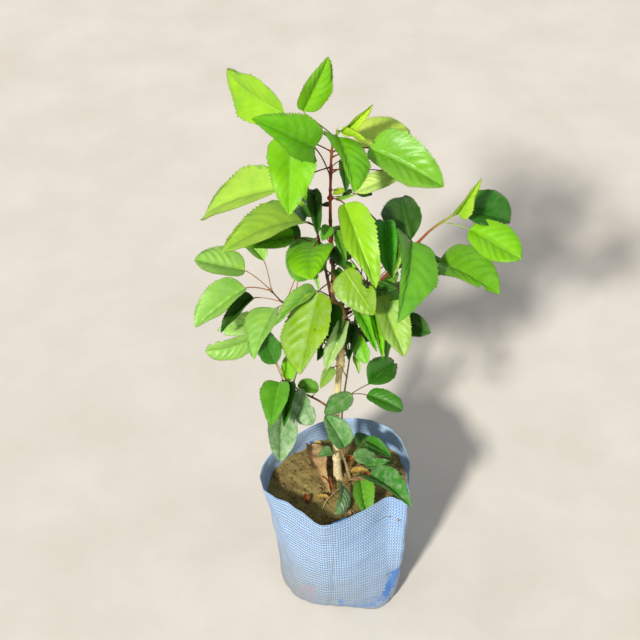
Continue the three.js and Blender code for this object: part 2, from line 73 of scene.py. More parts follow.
# leaves that the crown shows: node replaced, limb and place along it, petiole
# bearing, slope and length, blade bearing, slope, roll, fold, length, width,
# widest point, bend, tip shape, colour group
LEAVES = [
    # top left leaves
    ("top_left_leaves", "leader", 0.942, 169.5, 27.5, 65.2, 128.5, 1.9, -74.7, 19.4, 113.0, 58.8, (0.43, 0.51), 32, (1.4, 1.0), "topsun"),
    ("top_left_leaves", "leader", 0.741, -125.7, 61.6, 67.7, -149.1, 39.7, -66.9, 34.8, 103.7, 59.0, (0.47, 0.52), 32, (2.2, 0.9), "midtop"),
    # top leaf
    ("top_leaf", "leader", 0.960, 160.6, 35.9, 48.4, 35.0, 59.1, 86.2, 18.0, 69.0, 44.8, (0.46, 0.44), 3, (1.7, 1.4), "top"),
    # upper left leaves
    ("upper_left_leaves", "leader", 0.880, -174.4, 25.9, 51.2, -92.5, -35.2, -3.4, 22.5, 92.9, 60.8, (0.30, 0.38), 3, (2.0, 1.9), "top"),
    ("upper_left_leaves", "leader", 0.797, 55.7, -9.8, 25.2, -85.0, -28.5, -1.8, 54.2, 43.0, 24.1, 0.36, 12, 2.0, "shade"),
    ("upper_left_leaves", "leader", 0.490, -102.9, -10.1, 8.2, -109.3, -8.9, -21.6, 19.3, 25.8, 16.6, 0.40, 12, 2.0, "cool"),
    # far left upper leaf
    ("far_left_upper_leaf", "leader", 0.797, -173.9, -23.9, 66.2, 152.3, -35.8, -20.8, 24.4, 133.3, 73.6, (0.42, 0.66), 31, (1.5, 2.0), "pale"),
    # left upper leaves
    ("left_upper_leaves", "left_shoot", 0.702, -121.0, 42.8, 42.9, -136.6, 9.8, 0.5, 24.0, 127.6, 70.5, (0.22, 0.66), 32, (1.6, 4.0), "pale"),
    ("left_upper_leaves", "left_shoot", 0.522, -164.7, 31.6, 40.2, -151.4, 8.6, -49.0, 53.9, 69.2, 38.8, 0.36, 14, 2.0, "mid"),
    ("left_upper_leaves", "left_bough", 0.990, 141.9, 75.4, 44.9, 127.6, 8.8, -5.9, 46.5, 49.7, 33.9, 0.36, 10, 2.0, "coolsun"),
    # left outer leaves
    ("left_outer_leaves", "left_bough", 1.000, 180.0, 45.7, 46.3, -177.5, 17.0, -8.2, 20.3, 64.8, 51.9, (0.49, 0.66), 1, (2.4, 3.1), "coolsun"),
    ("left_outer_leaves", "left_bough", 1.000, -154.7, 26.1, 39.1, -144.6, -19.9, -9.9, 42.9, 79.9, 57.5, (0.43, 0.66), 25, (2.5, 1.7), "coolsun"),
    ("left_outer_leaves", "left_bough", 0.748, 178.4, 10.0, 37.2, -127.2, -11.0, -3.3, 55.2, 67.1, 38.6, 0.36, 12, 2.0, "dark"),
    # left mid leaves
    ("left_mid_leaves", "left_bough", 0.488, 165.8, -40.2, 66.9, -151.1, 11.0, -48.9, 34.7, 68.0, 38.1, 0.36, 10, 2.6, "coolpale"),
    ("left_mid_leaves", "left_bough", 0.447, -179.4, -41.7, 88.7, -160.9, -3.6, -82.9, 16.6, 65.7, 35.6, (0.66, 0.45), 32, (4.0, 4.0), "coolsun"),
    ("left_mid_leaves", "left_bough", 0.516, -146.2, 12.2, 36.8, -111.3, -20.5, 30.1, 23.9, 75.8, 60.6, (0.28, 0.61), 32, (1.8, 0.9), "coolsun"),
    # left edge leaf
    ("left_edge_leaf", "low_left_bough", 0.995, 167.7, 72.6, 30.1, 109.4, 9.6, -25.0, 27.7, 60.4, 35.5, 0.36, 12, 2.0, "deep"),
    ("left_edge_leaf", "low_left_bough", 0.959, 33.4, -19.7, 8.2, 99.6, 22.6, -8.4, 23.1, 37.0, 20.7, 0.36, 14, 2.0, "bright2"),
    # inner left leaves
    ("inner_left_leaves", "left_shoot", 0.580, -107.2, 11.8, 20.3, -91.7, 5.8, 10.6, 11.1, 72.0, 55.2, (0.61, 0.30), 32, (4.0, 1.8), "top"),
    ("inner_left_leaves", "left_shoot", 0.543, -118.4, -38.3, 18.8, -80.5, -24.9, 14.9, 65.0, 45.0, 25.2, 0.36, 10, 2.0, "coolpale"),
    ("inner_left_leaves", "left_shoot", 0.599, 118.8, -37.8, 10.1, -105.7, -5.2, -17.6, -10.1, 78.1, 50.8, (0.52, 0.56), 32, (3.1, 1.5), "cool"),
    ("inner_left_leaves", "left_shoot", 0.814, 119.8, -46.6, 10.1, 116.6, 7.3, -34.4, 40.6, 24.9, 13.9, 0.40, 12, 2.0, "shade"),
    ("inner_left_leaves", "left_shoot", 0.998, 66.1, 5.4, 9.9, -83.6, -27.1, 6.2, 60.2, 60.8, 34.1, 0.45, 12, 2.0, "dark"),
    ("inner_left_leaves", "left_shoot", 0.998, 16.8, 12.8, 10.7, -80.3, -27.6, 6.9, 60.3, 23.9, 13.4, 0.50, 12, 2.0, "youngpale"),
    ("inner_left_leaves", "left_shoot", 0.953, 124.2, -45.0, 5.1, 112.1, 16.6, -18.3, 44.9, 27.0, 15.1, 0.40, 12, 2.0, "bright2"),
    ("inner_left_leaves", "left_shoot", 0.907, 180.0, 8.6, 10.6, -153.8, 39.6, -81.0, 45.7, 15.3, 8.6, 0.40, 10, 2.0, "young"),
    # centre left leaves
    ("centre_left_leaves", "leader", 0.015, -149.1, 43.3, 34.2, -135.2, -10.5, -13.6, 60.3, 75.3, 42.2, 0.36, 16, 2.0, "coolsun"),
    ("centre_left_leaves", "leader", 0.129, -123.7, 7.5, 33.9, -105.8, -39.3, 23.6, 10.1, 104.2, 69.5, (0.60, 0.49), 0, (2.0, 1.0), "bright"),
    # crown centre leaves
    ("crown_centre_leaves", "leader", 0.998, -93.9, -28.5, 6.9, -78.8, -9.4, -23.2, 15.5, 90.9, 50.8, (0.14, 0.60), 32, (0.9, 1.5), "mid2"),
    ("crown_centre_leaves", "leader", 0.998, 69.6, -29.4, 12.2, -5.7, 47.2, 91.7, 62.9, 53.0, 29.7, 0.36, 8, 2.0, "young"),
    ("crown_centre_leaves", "leader", 0.998, 39.7, -17.7, 6.5, -37.6, 1.5, 37.8, 62.6, 35.5, 19.9, 0.36, 10, 2.0, "young"),
    ("crown_centre_leaves", "leader", 0.623, -52.4, 14.9, 27.3, -64.5, -38.1, 7.3, 38.5, 107.6, 53.8, (0.51, 0.38), 32, (1.2, 2.1), "topsun"),
    ("crown_centre_leaves", "leader", 0.623, 36.4, 51.4, 5.6, 35.8, -6.9, 35.5, 39.7, 19.4, 10.8, 0.36, 10, 2.0, "young"),
    ("crown_centre_leaves", "leader", 0.623, 0.7, -10.9, 7.7, -19.7, 27.8, 63.1, 74.0, 29.5, 16.5, 0.36, 10, 2.0, "youngpale"),
    ("crown_centre_leaves", "leader", 0.623, 41.4, -17.8, 19.2, 47.7, -2.9, 46.3, 46.6, 18.1, 10.2, 0.36, 12, 2.0, "shade"),
    ("crown_centre_leaves", "leader", 0.668, 39.5, -31.3, 46.7, 32.0, -21.2, 62.5, 61.9, 25.1, 14.0, 0.36, 12, 2.0, "shade"),
    ("crown_centre_leaves", "leader", 0.623, 100.1, -57.8, 19.2, -135.7, 22.2, -59.4, 43.3, 14.5, 8.1, 0.45, 12, 2.0, "dark"),
    # top right leaves
    ("top_right_leaves", "leader", 0.852, 5.5, 13.0, 44.9, -25.3, -15.5, 29.1, 31.6, 97.9, 66.8, (0.66, 0.33), 32, (1.6, 2.4), "sheen"),
    ("top_right_leaves", "leader", 0.880, 37.7, -10.9, 39.2, 43.6, -7.5, 11.0, 13.5, 82.5, 50.4, (0.66, 0.52), 11, (2.0, 4.0), "greytop"),
    ("top_right_leaves", "leader", 0.780, 10.0, -12.0, 84.2, -163.1, -13.5, -7.5, 17.1, 56.0, 31.1, (0.57, 0.66), 4, (2.2, 2.8), "palegrn"),
    # centre leaves
    ("centre_leaves", "leader", 0.245, -55.0, 10.2, 26.6, -50.1, -33.7, 53.9, 28.1, 65.8, 51.9, (0.35, 0.66), 5, (2.2, 2.0), "bright"),
    ("centre_leaves", "leader", 0.402, -53.8, 54.4, 13.6, -73.3, -15.1, 6.0, 60.9, 46.2, 25.9, 0.50, 14, 2.0, "mid3"),
    ("centre_leaves", "leader", 0.318, 86.6, -37.8, 6.4, -62.5, -3.7, 23.5, 39.8, 36.4, 20.4, 0.50, 14, 2.0, "shade"),
    ("centre_leaves", "leader", 0.245, 2.3, -20.1, 15.1, -45.4, 10.3, 30.2, 38.4, 24.5, 14.2, 0.45, 12, 2.0, "bright2"),
    ("centre_leaves", "leader", 0.184, -48.7, 49.9, 8.0, -66.2, 0.2, 23.1, 47.4, 29.8, 16.7, 0.45, 14, 2.0, "cool"),
    ("centre_leaves", "leader", 0.390, 52.5, -51.5, 19.3, 77.3, 17.7, 28.9, 38.0, 24.3, 15.5, 0.40, 12, 2.0, "dark"),
    # right upper leaf
    ("right_upper_leaf", "right_shoot", 0.646, 97.5, -19.3, 22.6, 96.2, 8.8, -25.2, 35.5, 74.1, 59.7, (0.28, 0.49), 32, (1.9, 2.6), "dark"),
    # right inner leaves
    ("right_inner_leaves", "right_shoot", 0.421, 116.7, 73.0, 63.9, -85.6, -28.1, 13.6, 41.8, 72.2, 40.4, 0.40, 14, 2.0, "dark2"),
    ("right_inner_leaves", "right_shoot", 0.522, 91.8, 66.3, 25.0, -103.5, -20.2, -14.7, 78.3, 61.5, 34.4, 0.50, 14, 2.0, "youngpale"),
    ("right_inner_leaves", "right_shoot", 0.634, -110.6, 56.5, 18.9, -99.2, -8.2, -27.6, 30.3, 129.7, 67.5, (0.14, 0.55), 32, (0.9, 1.5), "cool"),
    # right tip leaves
    ("right_tip_leaves", "right_shoot", 0.956, 57.4, -6.9, 19.4, 19.2, -27.5, 35.3, 40.5, 77.9, 62.5, (0.26, 0.43), 32, (0.9, 3.1), "spray"),
    ("right_tip_leaves", "right_shoot", 1.000, 180.0, -77.1, 0.3, -13.9, 65.6, 102.7, 55.2, 59.9, 33.5, 0.30, 10, 1.1, "youngleaf"),
    # right spray leaf
    ("right_spray_leaf", "right_shoot", 0.883, -19.9, -1.3, 35.2, -31.6, -13.8, 11.9, 10.1, 69.8, 55.2, (0.64, 0.52), 16, (1.9, 2.5), "top"),
    # right outer leaf
    ("right_outer_leaf", "right_shoot", 0.685, 6.6, -52.1, 42.2, -55.0, 12.8, 19.0, 24.9, 114.8, 63.3, (0.14, 0.44), 32, (1.3, 3.2), "mid"),
    # right low leaves
    ("right_low_leaves", "right_shoot", 0.306, 64.7, -77.1, 29.0, -64.2, -36.8, 0.3, 31.0, 83.0, 49.5, (0.57, 0.46), 8, (1.8, 2.4), "pale2"),
    ("right_low_leaves", "right_shoot", 0.130, 127.1, -72.9, 13.0, -66.7, -21.1, 19.8, 64.3, 69.1, 38.7, 0.36, 14, 2.0, "cool2"),
    ("right_low_leaves", "right_shoot", 0.187, 50.5, -64.6, 31.9, -78.2, -23.8, 5.8, 68.2, 74.6, 41.8, 0.40, 14, 2.0, "bright2"),
    ("right_low_leaves", "low_right_bough", 0.827, 0.4, -30.6, 12.3, -96.1, -22.8, -2.5, 56.2, 33.0, 18.5, 0.36, 14, 2.0, "shade"),
    ("right_low_leaves", "low_right_bough", 0.994, 15.6, 34.2, 27.3, -43.0, 9.3, 41.5, 22.9, 43.8, 33.5, 0.36, 14, 2.6, "dark"),
    ("right_low_leaves", "right_shoot", 0.280, 86.2, -41.1, 4.0, -36.4, 13.9, 55.6, 48.0, 33.8, 18.9, 0.45, 12, 2.0, "shade"),
    ("right_low_leaves", "right_shoot", 0.346, 103.3, -64.9, 17.4, 44.5, 2.2, 52.8, 33.6, 29.1, 19.8, 0.45, 12, 2.0, "cool"),
    ("right_low_leaves", "right_shoot", 0.401, 23.6, -70.0, 40.8, -130.5, -4.8, -47.0, 33.4, 18.1, 12.1, 0.45, 12, 2.0, "dark"),
    # low front leaves
    ("low_front_leaves", "trunk", 0.864, -86.1, 49.1, 36.7, -111.9, -21.8, -8.1, 60.5, 73.0, 40.9, 0.60, 12, 3.0, "under"),
    ("low_front_leaves", "trunk", 0.646, -116.6, 34.4, 26.6, -120.3, -15.5, -20.3, 35.7, 34.6, 19.4, 0.42, 8, 1.6, "pale2"),
    ("low_front_leaves", "trunk", 0.963, -152.6, 43.6, 10.5, -106.9, -27.9, -27.6, 56.0, 78.4, 43.9, 0.50, 12, 2.0, "deep"),
    ("low_front_leaves", "trunk", 0.864, 17.6, -14.5, 13.7, -98.3, -22.5, 7.5, 50.9, 51.3, 28.7, 0.36, 12, 2.0, "shade"),
    ("low_front_leaves", "low_right_bough", 0.296, -80.7, 26.9, 11.4, -68.6, -37.8, 41.5, 10.1, 38.9, 22.0, (0.66, 0.66), 13, (1.8, 2.1), "mid2"),
    ("low_front_leaves", "side_stem", 1.000, 76.1, -60.6, 39.9, -75.7, -20.5, -3.7, 55.9, 26.8, 15.0, 0.36, 10, 2.0, "youngpale"),
    # low left leaves
    ("low_left_leaves", "low_left_bough", 0.995, -97.0, 38.6, 28.5, -98.8, -11.0, 8.5, 34.1, 69.5, 47.6, (0.36, 0.57), 20, (2.1, 1.4), "cool"),
    ("low_left_leaves", "low_left_bough", 0.894, -79.7, 48.3, 15.3, -96.9, -21.9, -3.1, 61.3, 64.6, 36.2, 0.36, 12, 2.0, "deep"),
    ("low_left_leaves", "low_left_bough", 0.894, -115.4, -61.1, 41.2, -92.4, -28.1, -8.2, 44.3, 69.8, 55.6, (0.47, 0.46), 15, (2.5, 2.4), "grey"),
    ("low_left_leaves", "low_left_bough", 0.479, 15.1, 51.7, 14.9, 178.2, 11.5, -22.0, 25.9, 28.9, 23.1, (0.59, 0.66), 29, (3.7, 1.7), "mid3"),
    ("low_left_leaves", "low_left_bough", 0.599, -178.1, 41.9, 12.2, -63.8, -34.9, 52.6, 22.0, 51.8, 40.7, (0.54, 0.66), 32, (3.1, 4.0), "grey"),
    # low right leaves
    ("low_right_leaves", "side_twig", 1.000, -26.4, 49.6, 38.1, 53.7, -8.0, 24.0, 42.8, 64.4, 51.6, (0.32, 0.23), 17, (1.4, 2.3), "deep"),
    ("low_right_leaves", "side_twig", 1.000, -43.0, 31.8, 32.8, -23.9, -9.2, 9.7, 19.7, 50.6, 30.2, (0.66, 0.46), 32, (3.2, 4.0), "deep"),
    ("low_right_leaves", "side_twig", 1.000, -27.2, 39.8, 2.8, -136.7, -3.0, -36.5, -24.7, 50.7, 28.3, (0.51, 0.39), 0, (1.6, 1.9), "deepgrey"),
    # low centre leaves
    ("low_centre_leaves", "side_stem", 0.167, -89.8, 60.0, 62.0, 136.8, 43.8, -17.6, 37.6, 51.3, 41.8, (0.43, 0.48), 27, (2.8, 2.7), "deepgrey"),
    ("low_centre_leaves", "trunk", 0.121, -112.5, 58.4, 35.8, -143.3, 12.0, -14.7, 38.5, 24.4, 21.0, 0.36, 10, 2.0, "deepgrey"),
    # basal right leaves
    ("basal_right_leaves", "basal_shoot", 1.000, -40.2, 41.3, 45.4, -53.1, 12.2, 9.5, 47.4, 93.5, 52.3, (0.14, 0.49), 32, (1.4, 2.0), "deep2"),
    ("basal_right_leaves", "side_stem", 0.080, -6.8, 17.6, 27.3, -15.7, 23.7, 32.2, 50.6, 43.2, 24.2, 0.40, 14, 2.0, "deep2"),
    ("basal_right_leaves", "side_stem", 0.183, -27.5, 28.7, 16.4, 20.8, -24.5, 45.8, 21.1, 38.1, 23.7, 0.45, 14, 2.6, "deepgrey"),
    # basal centre leaves
    ("basal_centre_leaves", "side_stem", 0.073, 10.8, 63.9, 57.5, -40.9, 0.5, 12.0, 51.6, 44.3, 26.6, 0.40, 18, 2.0, "deep"),
    ("basal_centre_leaves", "side_stem", 0.098, 9.1, 38.7, 43.4, 126.8, 9.7, -24.1, 21.9, 34.6, 24.6, 0.40, 12, 2.0, "shade"),
    ("basal_centre_leaves", "side_stem", 0.073, 13.6, 52.7, 47.4, -36.4, 4.2, 27.0, 59.5, 40.3, 22.6, 0.40, 12, 2.0, "shade"),
    # basal front leaves
    ("basal_front_leaves", "basal_shoot", 1.000, -37.4, 29.7, 22.7, -80.1, -20.7, -2.6, 42.1, 51.4, 41.1, (0.53, 0.30), 14, (2.6, 2.9), "mid3"),
    ("basal_front_leaves", "sucker", 1.000, 36.2, 25.3, 31.8, -102.8, 2.6, -49.9, 13.7, 55.4, 30.9, (0.14, 0.51), 32, (0.9, 4.0), "grey"),
]

# eaten places: leaf, then for each the place along the midrib, millimetres aside, and its two half sizes
EATEN = {
    13: [(0.87, 9, 6.5, 5.5), (0.94, -5, 4.0, 4.0)],
    14: [(0.84, 17, 4.5, 4.0), (0.66, 20, 4.0, 3.5)],
    27: [(0.24, -34, 4.2, 3.6), (0.45, -14, 1.0, 1.0)],
    40: [(0.45, -22, 7.5, 6.5)],
    53: [(0.82, 9, 4.2, 4.0)],
    64: [(0.72, -4, 5.2, 2.8), (0.63, -4, 1.5, 1.2)],
    65: [(0.64, 4, 4.5, 3.2)],
    72: [(0.55, -21, 4.0, 3.5), (0.66, -9, 2.0, 1.6)],
    73: [(0.99, -1, 3.5, 3.2), (0.72, -17, 2.2, 1.6)],
}

# the camera of the photograph, which the scene uses again
CAM_AT = np.array([-26.6, -1436.8, 1731.4])
CAM_DOWN = math.radians(41.0)
FOCAL_PX = 1500.0
SUN_TO = np.array([0.334, 0.733, -0.592])


# ---------------------------------------------------------------------------
# growth: limbs, blades and the seeded rule for the rest of the crown
# ---------------------------------------------------------------------------
def limb_point(name, t):
    knots = np.array(LIMBS[name][2], float)
    seg = np.linalg.norm(np.diff(knots, axis=0), axis=1)
    a = t * seg.sum()
    for k, q in enumerate(seg):
        if a <= q or k == len(seg) - 1:
            return knots[k] + (knots[k + 1] - knots[k]) * min(a / q, 1)
        a -= q


def bearing(az, el):
    az, el = math.radians(az), math.radians(el)
    return np.array([math.cos(el) * math.cos(az), math.cos(el) * math.sin(az), math.sin(el)])


def blade_frame(az, el, roll, fold):
    m = bearing(az, el)
    u0 = np.array([0, 0, 1.0]) - m * m[2]
    u0 /= np.linalg.norm(u0)
    v0 = np.cross(m, u0)
    up = u0 * math.cos(math.radians(roll)) + v0 * math.sin(math.radians(roll))
    s = np.cross(m, up)
    f = math.radians(fold)
    return m, up, s * math.cos(f) + up * math.sin(f), -s * math.cos(f) + up * math.sin(f)


def half_width(t, widest, p):
    v = np.clip((widest - t) / widest, 0, 1)
    u = np.clip((t - widest) / (1 - widest), 0, 1)
    return np.where(t < widest, np.clip(1 - v**2.2, 0, 1) ** 0.5, (1 - u**p) * (1 - 0.1 * np.sin(np.pi * u)))


def of_side(value, k):
    return value[0 if k > 0 else 1] if isinstance(value, tuple) else value


def midrib(base, m, up, length, bend, t):
    sag = length * math.tan(math.radians(bend) / 4) / 2
    return base + np.multiply.outer(t, m * length) + np.multiply.outer(4 * t * (1 - t) * sag, up)


def outline(base, az, el, roll, fold, length, width, widest, bend, p, n=26):
    m, up, sr, sl = blade_frame(az, el, roll, fold)
    t = np.linspace(0, 1, n)
    mid = midrib(base, m, up, length, bend, t)
    edges = []
    for k, side in ((1, sr), (-1, sl)):
        h = half_width(t, of_side(widest, k), of_side(p, k)) * width / 2
        edges.append(mid + h[:, None] * side - (0.042 * length * np.sin(np.pi * np.clip(t / 0.34, 0, 1)))[:, None] * m)
    return edges[0], edges[1], mid


def seen(points):
    c, s = math.cos(CAM_DOWN), math.sin(CAM_DOWN)
    q = np.asarray(points) - CAM_AT
    deep = q[..., 1] * c - q[..., 2] * s
    down = -(q[..., 1] * s + q[..., 2] * c)
    return np.stack([FOCAL_PX * q[..., 0] / deep, FOCAL_PX * down / deep], -1)


def how_deep(points):
    c, s = math.cos(CAM_DOWN), math.sin(CAM_DOWN)
    q = np.asarray(points) - CAM_AT
    return q[..., 1] * c - q[..., 2] * s


def inside(points, polygon):
    x, y = points[:, 0], points[:, 1]
    hit = np.zeros(len(points), bool)
    j = len(polygon) - 1
    for i in range(len(polygon)):
        xi, yi = polygon[i]
        xj, yj = polygon[j]
        hit ^= ((yi > y) != (yj > y)) & (x < (xj - xi) * (y - yi) / (yj - yi + 1e-12) + xi)
        j = i
    return hit


def fill(cover, polygon, deep):
    """Sets the nearest depth in the cells of the cover, one to a pixel of the view, that a leaf's outline takes."""
    lo = np.clip(np.floor(polygon.min(0)).astype(int) + 320, 0, 639)
    hi = np.clip(np.ceil(polygon.max(0)).astype(int) + 321, 1, 640)
    gx, gy = np.meshgrid(np.arange(lo[0], hi[0]), np.arange(lo[1], hi[1]))
    dots = np.stack([gx.ravel() - 319.5, gy.ravel() - 319.5], -1)
    hit = inside(dots, polygon).reshape(gx.shape)
    part = cover[lo[1] : hi[1], lo[0] : hi[0]]
    part[hit] = np.minimum(part[hit], deep)


def hidden_share(cover, points):
    q = np.clip(np.floor(seen(points)).astype(int) + 320, 0, 639)
    return (cover[q[:, 1], q[:, 0]] < how_deep(points)).mean()


# The crown goes on behind the leaves that the front shows: each new leaf leaves
# its limb towards the back, keeps off its neighbours, and stays where the crown
# is closed already, so that its gaps stay open.
BACK_LIMBS = [
    ("leader", 0.15, 0.97, 9), ("left_shoot", 0.2, 1, 4), ("left_bough", 0.4, 1, 4), ("right_shoot", 0.1, 0.85, 5),
    ("low_left_bough", 0.3, 1, 3), ("low_right_bough", 0.2, 1, 4), ("trunk", 0.62, 0.98, 5), ("side_stem", 0.55, 1, 3),
]
BACK_LEAVES = 60


def back_node(c):
    if c[2] > 670:
        return "back_top_leaves"
    if c[2] > 580:
        return "back_upper_leaves" if c[0] < 30 else "back_right_leaves"
    if c[2] > 480:
        return "back_left_leaves" if c[0] < 10 else "back_right_leaves"
    return "back_low_leaves" if c[0] < 0 else "back_low_right_leaves"


def grow_back(front):
    cover = np.full((640, 640), 1e9)
    middles = []
    for row in front:
        _, limb, t, paz, pel, plen, az, el, roll, fold, length, width, widest, bend, p, _ = row
        base = limb_point(limb, t) + bearing(paz, pel) * plen
        sr, sl, mid = outline(base, az, el, roll, fold, length, width, widest, bend, p)
        fill(cover, np.vstack([seen(sr), seen(sl)[::-1]]), how_deep(mid).mean())
        middles.append(mid[13])
    total = sum(b[3] for b in BACK_LIMBS)
    rows = []
    for k in range(BACK_LEAVES):
        rng = random.Random(4200 + k)
        for _ in range(90):
            r = rng.random() * total
            for limb, lo, hi, share in BACK_LIMBS:
                if r < share:
                    break
                r -= share
            t = lo + (hi - lo) * rng.random()
            paz, pel, plen = 90 + rng.uniform(-88, 88), rng.uniform(5, 50), rng.uniform(25, 65)
            az = paz + rng.uniform(-15, 15)
            el, roll, fold, bend = rng.uniform(-52, 5), rng.uniform(-25, 25), rng.uniform(12, 34), rng.uniform(10, 34)
            length = rng.uniform(54, 92)
            width = length * rng.uniform(0.6, 0.74)
            base = limb_point(limb, t) + bearing(paz, pel) * plen
            sr, sl, mid = outline(base, az, el, roll, fold, length, width, 0.36, bend, 2.2, 14)
            if base[2] < 280 or mid[-1][2] < 250:
                continue
            if min(np.linalg.norm(mid[7] - q) for q in middles) < 25:
                continue
            if hidden_share(cover, np.vstack([sr, sl, mid])) < 0.95:
                continue
            start = limb_point(limb, t)
            stalk = start + np.multiply.outer(np.linspace(0.12, 1, 9), base - start)
            if hidden_share(cover, stalk) < (0.85 if base[2] > 640 else 0.5):
                continue
            middles.append(mid[7])
            tint = rng.choice(["mid3", "cool", "deep", "shade"])
            rows.append((back_node(mid[7]), limb, t, paz, pel, plen, az, el, roll, fold, length, width, 0.36, bend, 2.2, tint))
            break
    return rows


# ---------------------------------------------------------------------------
# meshes
# ---------------------------------------------------------------------------
class Patch:
    """Points and faces gathered for one piece, in millimetres."""

    def __init__(self):
        self.points, self.faces, self.slots, self.nodes = [], [], [], set()
        self.count = 0

    def add(self, points, faces, slot=0):
        points = np.asarray(points, float)
        self.points.append(points)
        for f in faces:
            self.faces.append(tuple(int(i) + self.count for i in f))
            self.slots.append(slot)
        self.count += len(points)


def make(name, patch, materials, smooth=True, uv=None):
    mesh = bpy.data.meshes.new(name)
    mesh.from_pydata((np.vstack(patch.points) * MM).tolist(), [], patch.faces)
    for m in materials:
        mesh.materials.append(m)
    mesh.polygons.foreach_set("material_index", patch.slots)
    mesh.polygons.foreach_set("use_smooth", [smooth] * len(mesh.polygons))
    mesh.update()
    mesh.validate()
    obj = bpy.data.objects.new(name, mesh)
    bpy.context.scene.collection.objects.link(obj)
    return obj


def grid_faces(rows, cols, wrap=False, flip=False, first=0):
    out = []
    for r in range(rows - 1):
        for c in range(cols if wrap else cols - 1):
            d = (c + 1) % cols
            quad = (first + r * cols + c, first + r * cols + d, first + (r + 1) * cols + d, first + (r + 1) * cols + c)
            out.append(quad[::-1] if flip else quad)
    return out


def catmull(points, n, closed=False):
    """n points along a centripetal curve through the knots, evenly spaced by length."""
    p = np.array(points, float)
    if closed:
        p = np.vstack([p[-1], p, p[0], p[1]])
    else:
        p = np.vstack([2 * p[0] - p[1], p, 2 * p[-1] - p[-2]])
    out = []
    steps = 24
    for i in range(1, len(p) - 2):
        a, b, c, d = p[i - 1], p[i], p[i + 1], p[i + 2]
        k = [0.0]
        for q, r in ((a, b), (b, c), (c, d)):
            k.append(k[-1] + max(np.linalg.norm(r - q), 1e-6) ** 0.5)
        for s in range(steps):
            t = k[1] + (k[2] - k[1]) * s / steps
            a1 = (k[1] - t) / (k[1] - k[0]) * a + (t - k[0]) / (k[1] - k[0]) * b
            a2 = (k[2] - t) / (k[2] - k[1]) * b + (t - k[1]) / (k[2] - k[1]) * c
            a3 = (k[3] - t) / (k[3] - k[2]) * c + (t - k[2]) / (k[3] - k[2]) * d
            b1 = (k[2] - t) / (k[2] - k[0]) * a1 + (t - k[0]) / (k[2] - k[0]) * a2
            b2 = (k[3] - t) / (k[3] - k[1]) * a2 + (t - k[1]) / (k[3] - k[1]) * a3
            out.append((k[2] - t) / (k[2] - k[1]) * b1 + (t - k[1]) / (k[2] - k[1]) * b2)
    out.append(p[-2])
    out = np.array(out)
    if n is None:
        return out
    cum = np.concatenate([[0], np.cumsum(np.linalg.norm(np.diff(out, axis=0), axis=1))])
    at = np.linspace(0, cum[-1], n)
    return np.stack([np.interp(at, cum, out[:, k]) for k in range(3)], -1)


def waves(seed, count, size):
    """Smooth seeded relief: a sum of plane waves about `size` millimetres long."""
    rng = random.Random(seed)
    rows = []
    for _ in range(count):
        d = np.array([rng.gauss(0, 1) for _ in range(3)])
        d /= np.linalg.norm(d)
        rows.append((d * 2 * math.pi / (size * rng.uniform(0.6, 1.7)), rng.uniform(0, 6.28)))
    return lambda p: sum(np.sin(np.asarray(p) @ k + o) for k, o in rows) / math.sqrt(count)


def tube(patch, path, radii, sides, relief=None, slot=0, flat_start=False):
    n = len(path)
    tan = np.gradient(path, axis=0)
    tan /= np.linalg.norm(tan, axis=1)[:, None]
    if flat_start:
        tan[0] = (0, 0, 1)
    ref = np.array([1.0, 0, 0]) if abs(tan[0][0]) < 0.9 else np.array([0, 1.0, 0])
    rings = []
    side = ref - tan[0] * (ref @ tan[0])
    side /= np.linalg.norm(side)
    a = np.linspace(0, 2 * math.pi, sides, endpoint=False)
    for i in range(n):
        side = side - tan[i] * (side @ tan[i])
        side /= np.linalg.norm(side)
        across = np.cross(tan[i], side)
        ring = path[i] + radii[i] * (np.cos(a)[:, None] * side + np.sin(a)[:, None] * across)
        if relief is not None:
            out = (ring - path[i]) / max(radii[i], 1e-6)
            ring = ring + out * relief(ring, a, i)[:, None]
        rings.append(ring)
    points = np.vstack(rings + [path[:1], path[-1:]])
    faces = grid_faces(n, sides, wrap=True)
    lo, hi = n * sides, n * sides + 1
    for c in range(sides):
        d = (c + 1) % sides
        faces.append((d, c, lo))
        faces.append(((n - 1) * sides + c, (n - 1) * sides + d, hi))
    patch.add(points, faces, slot)


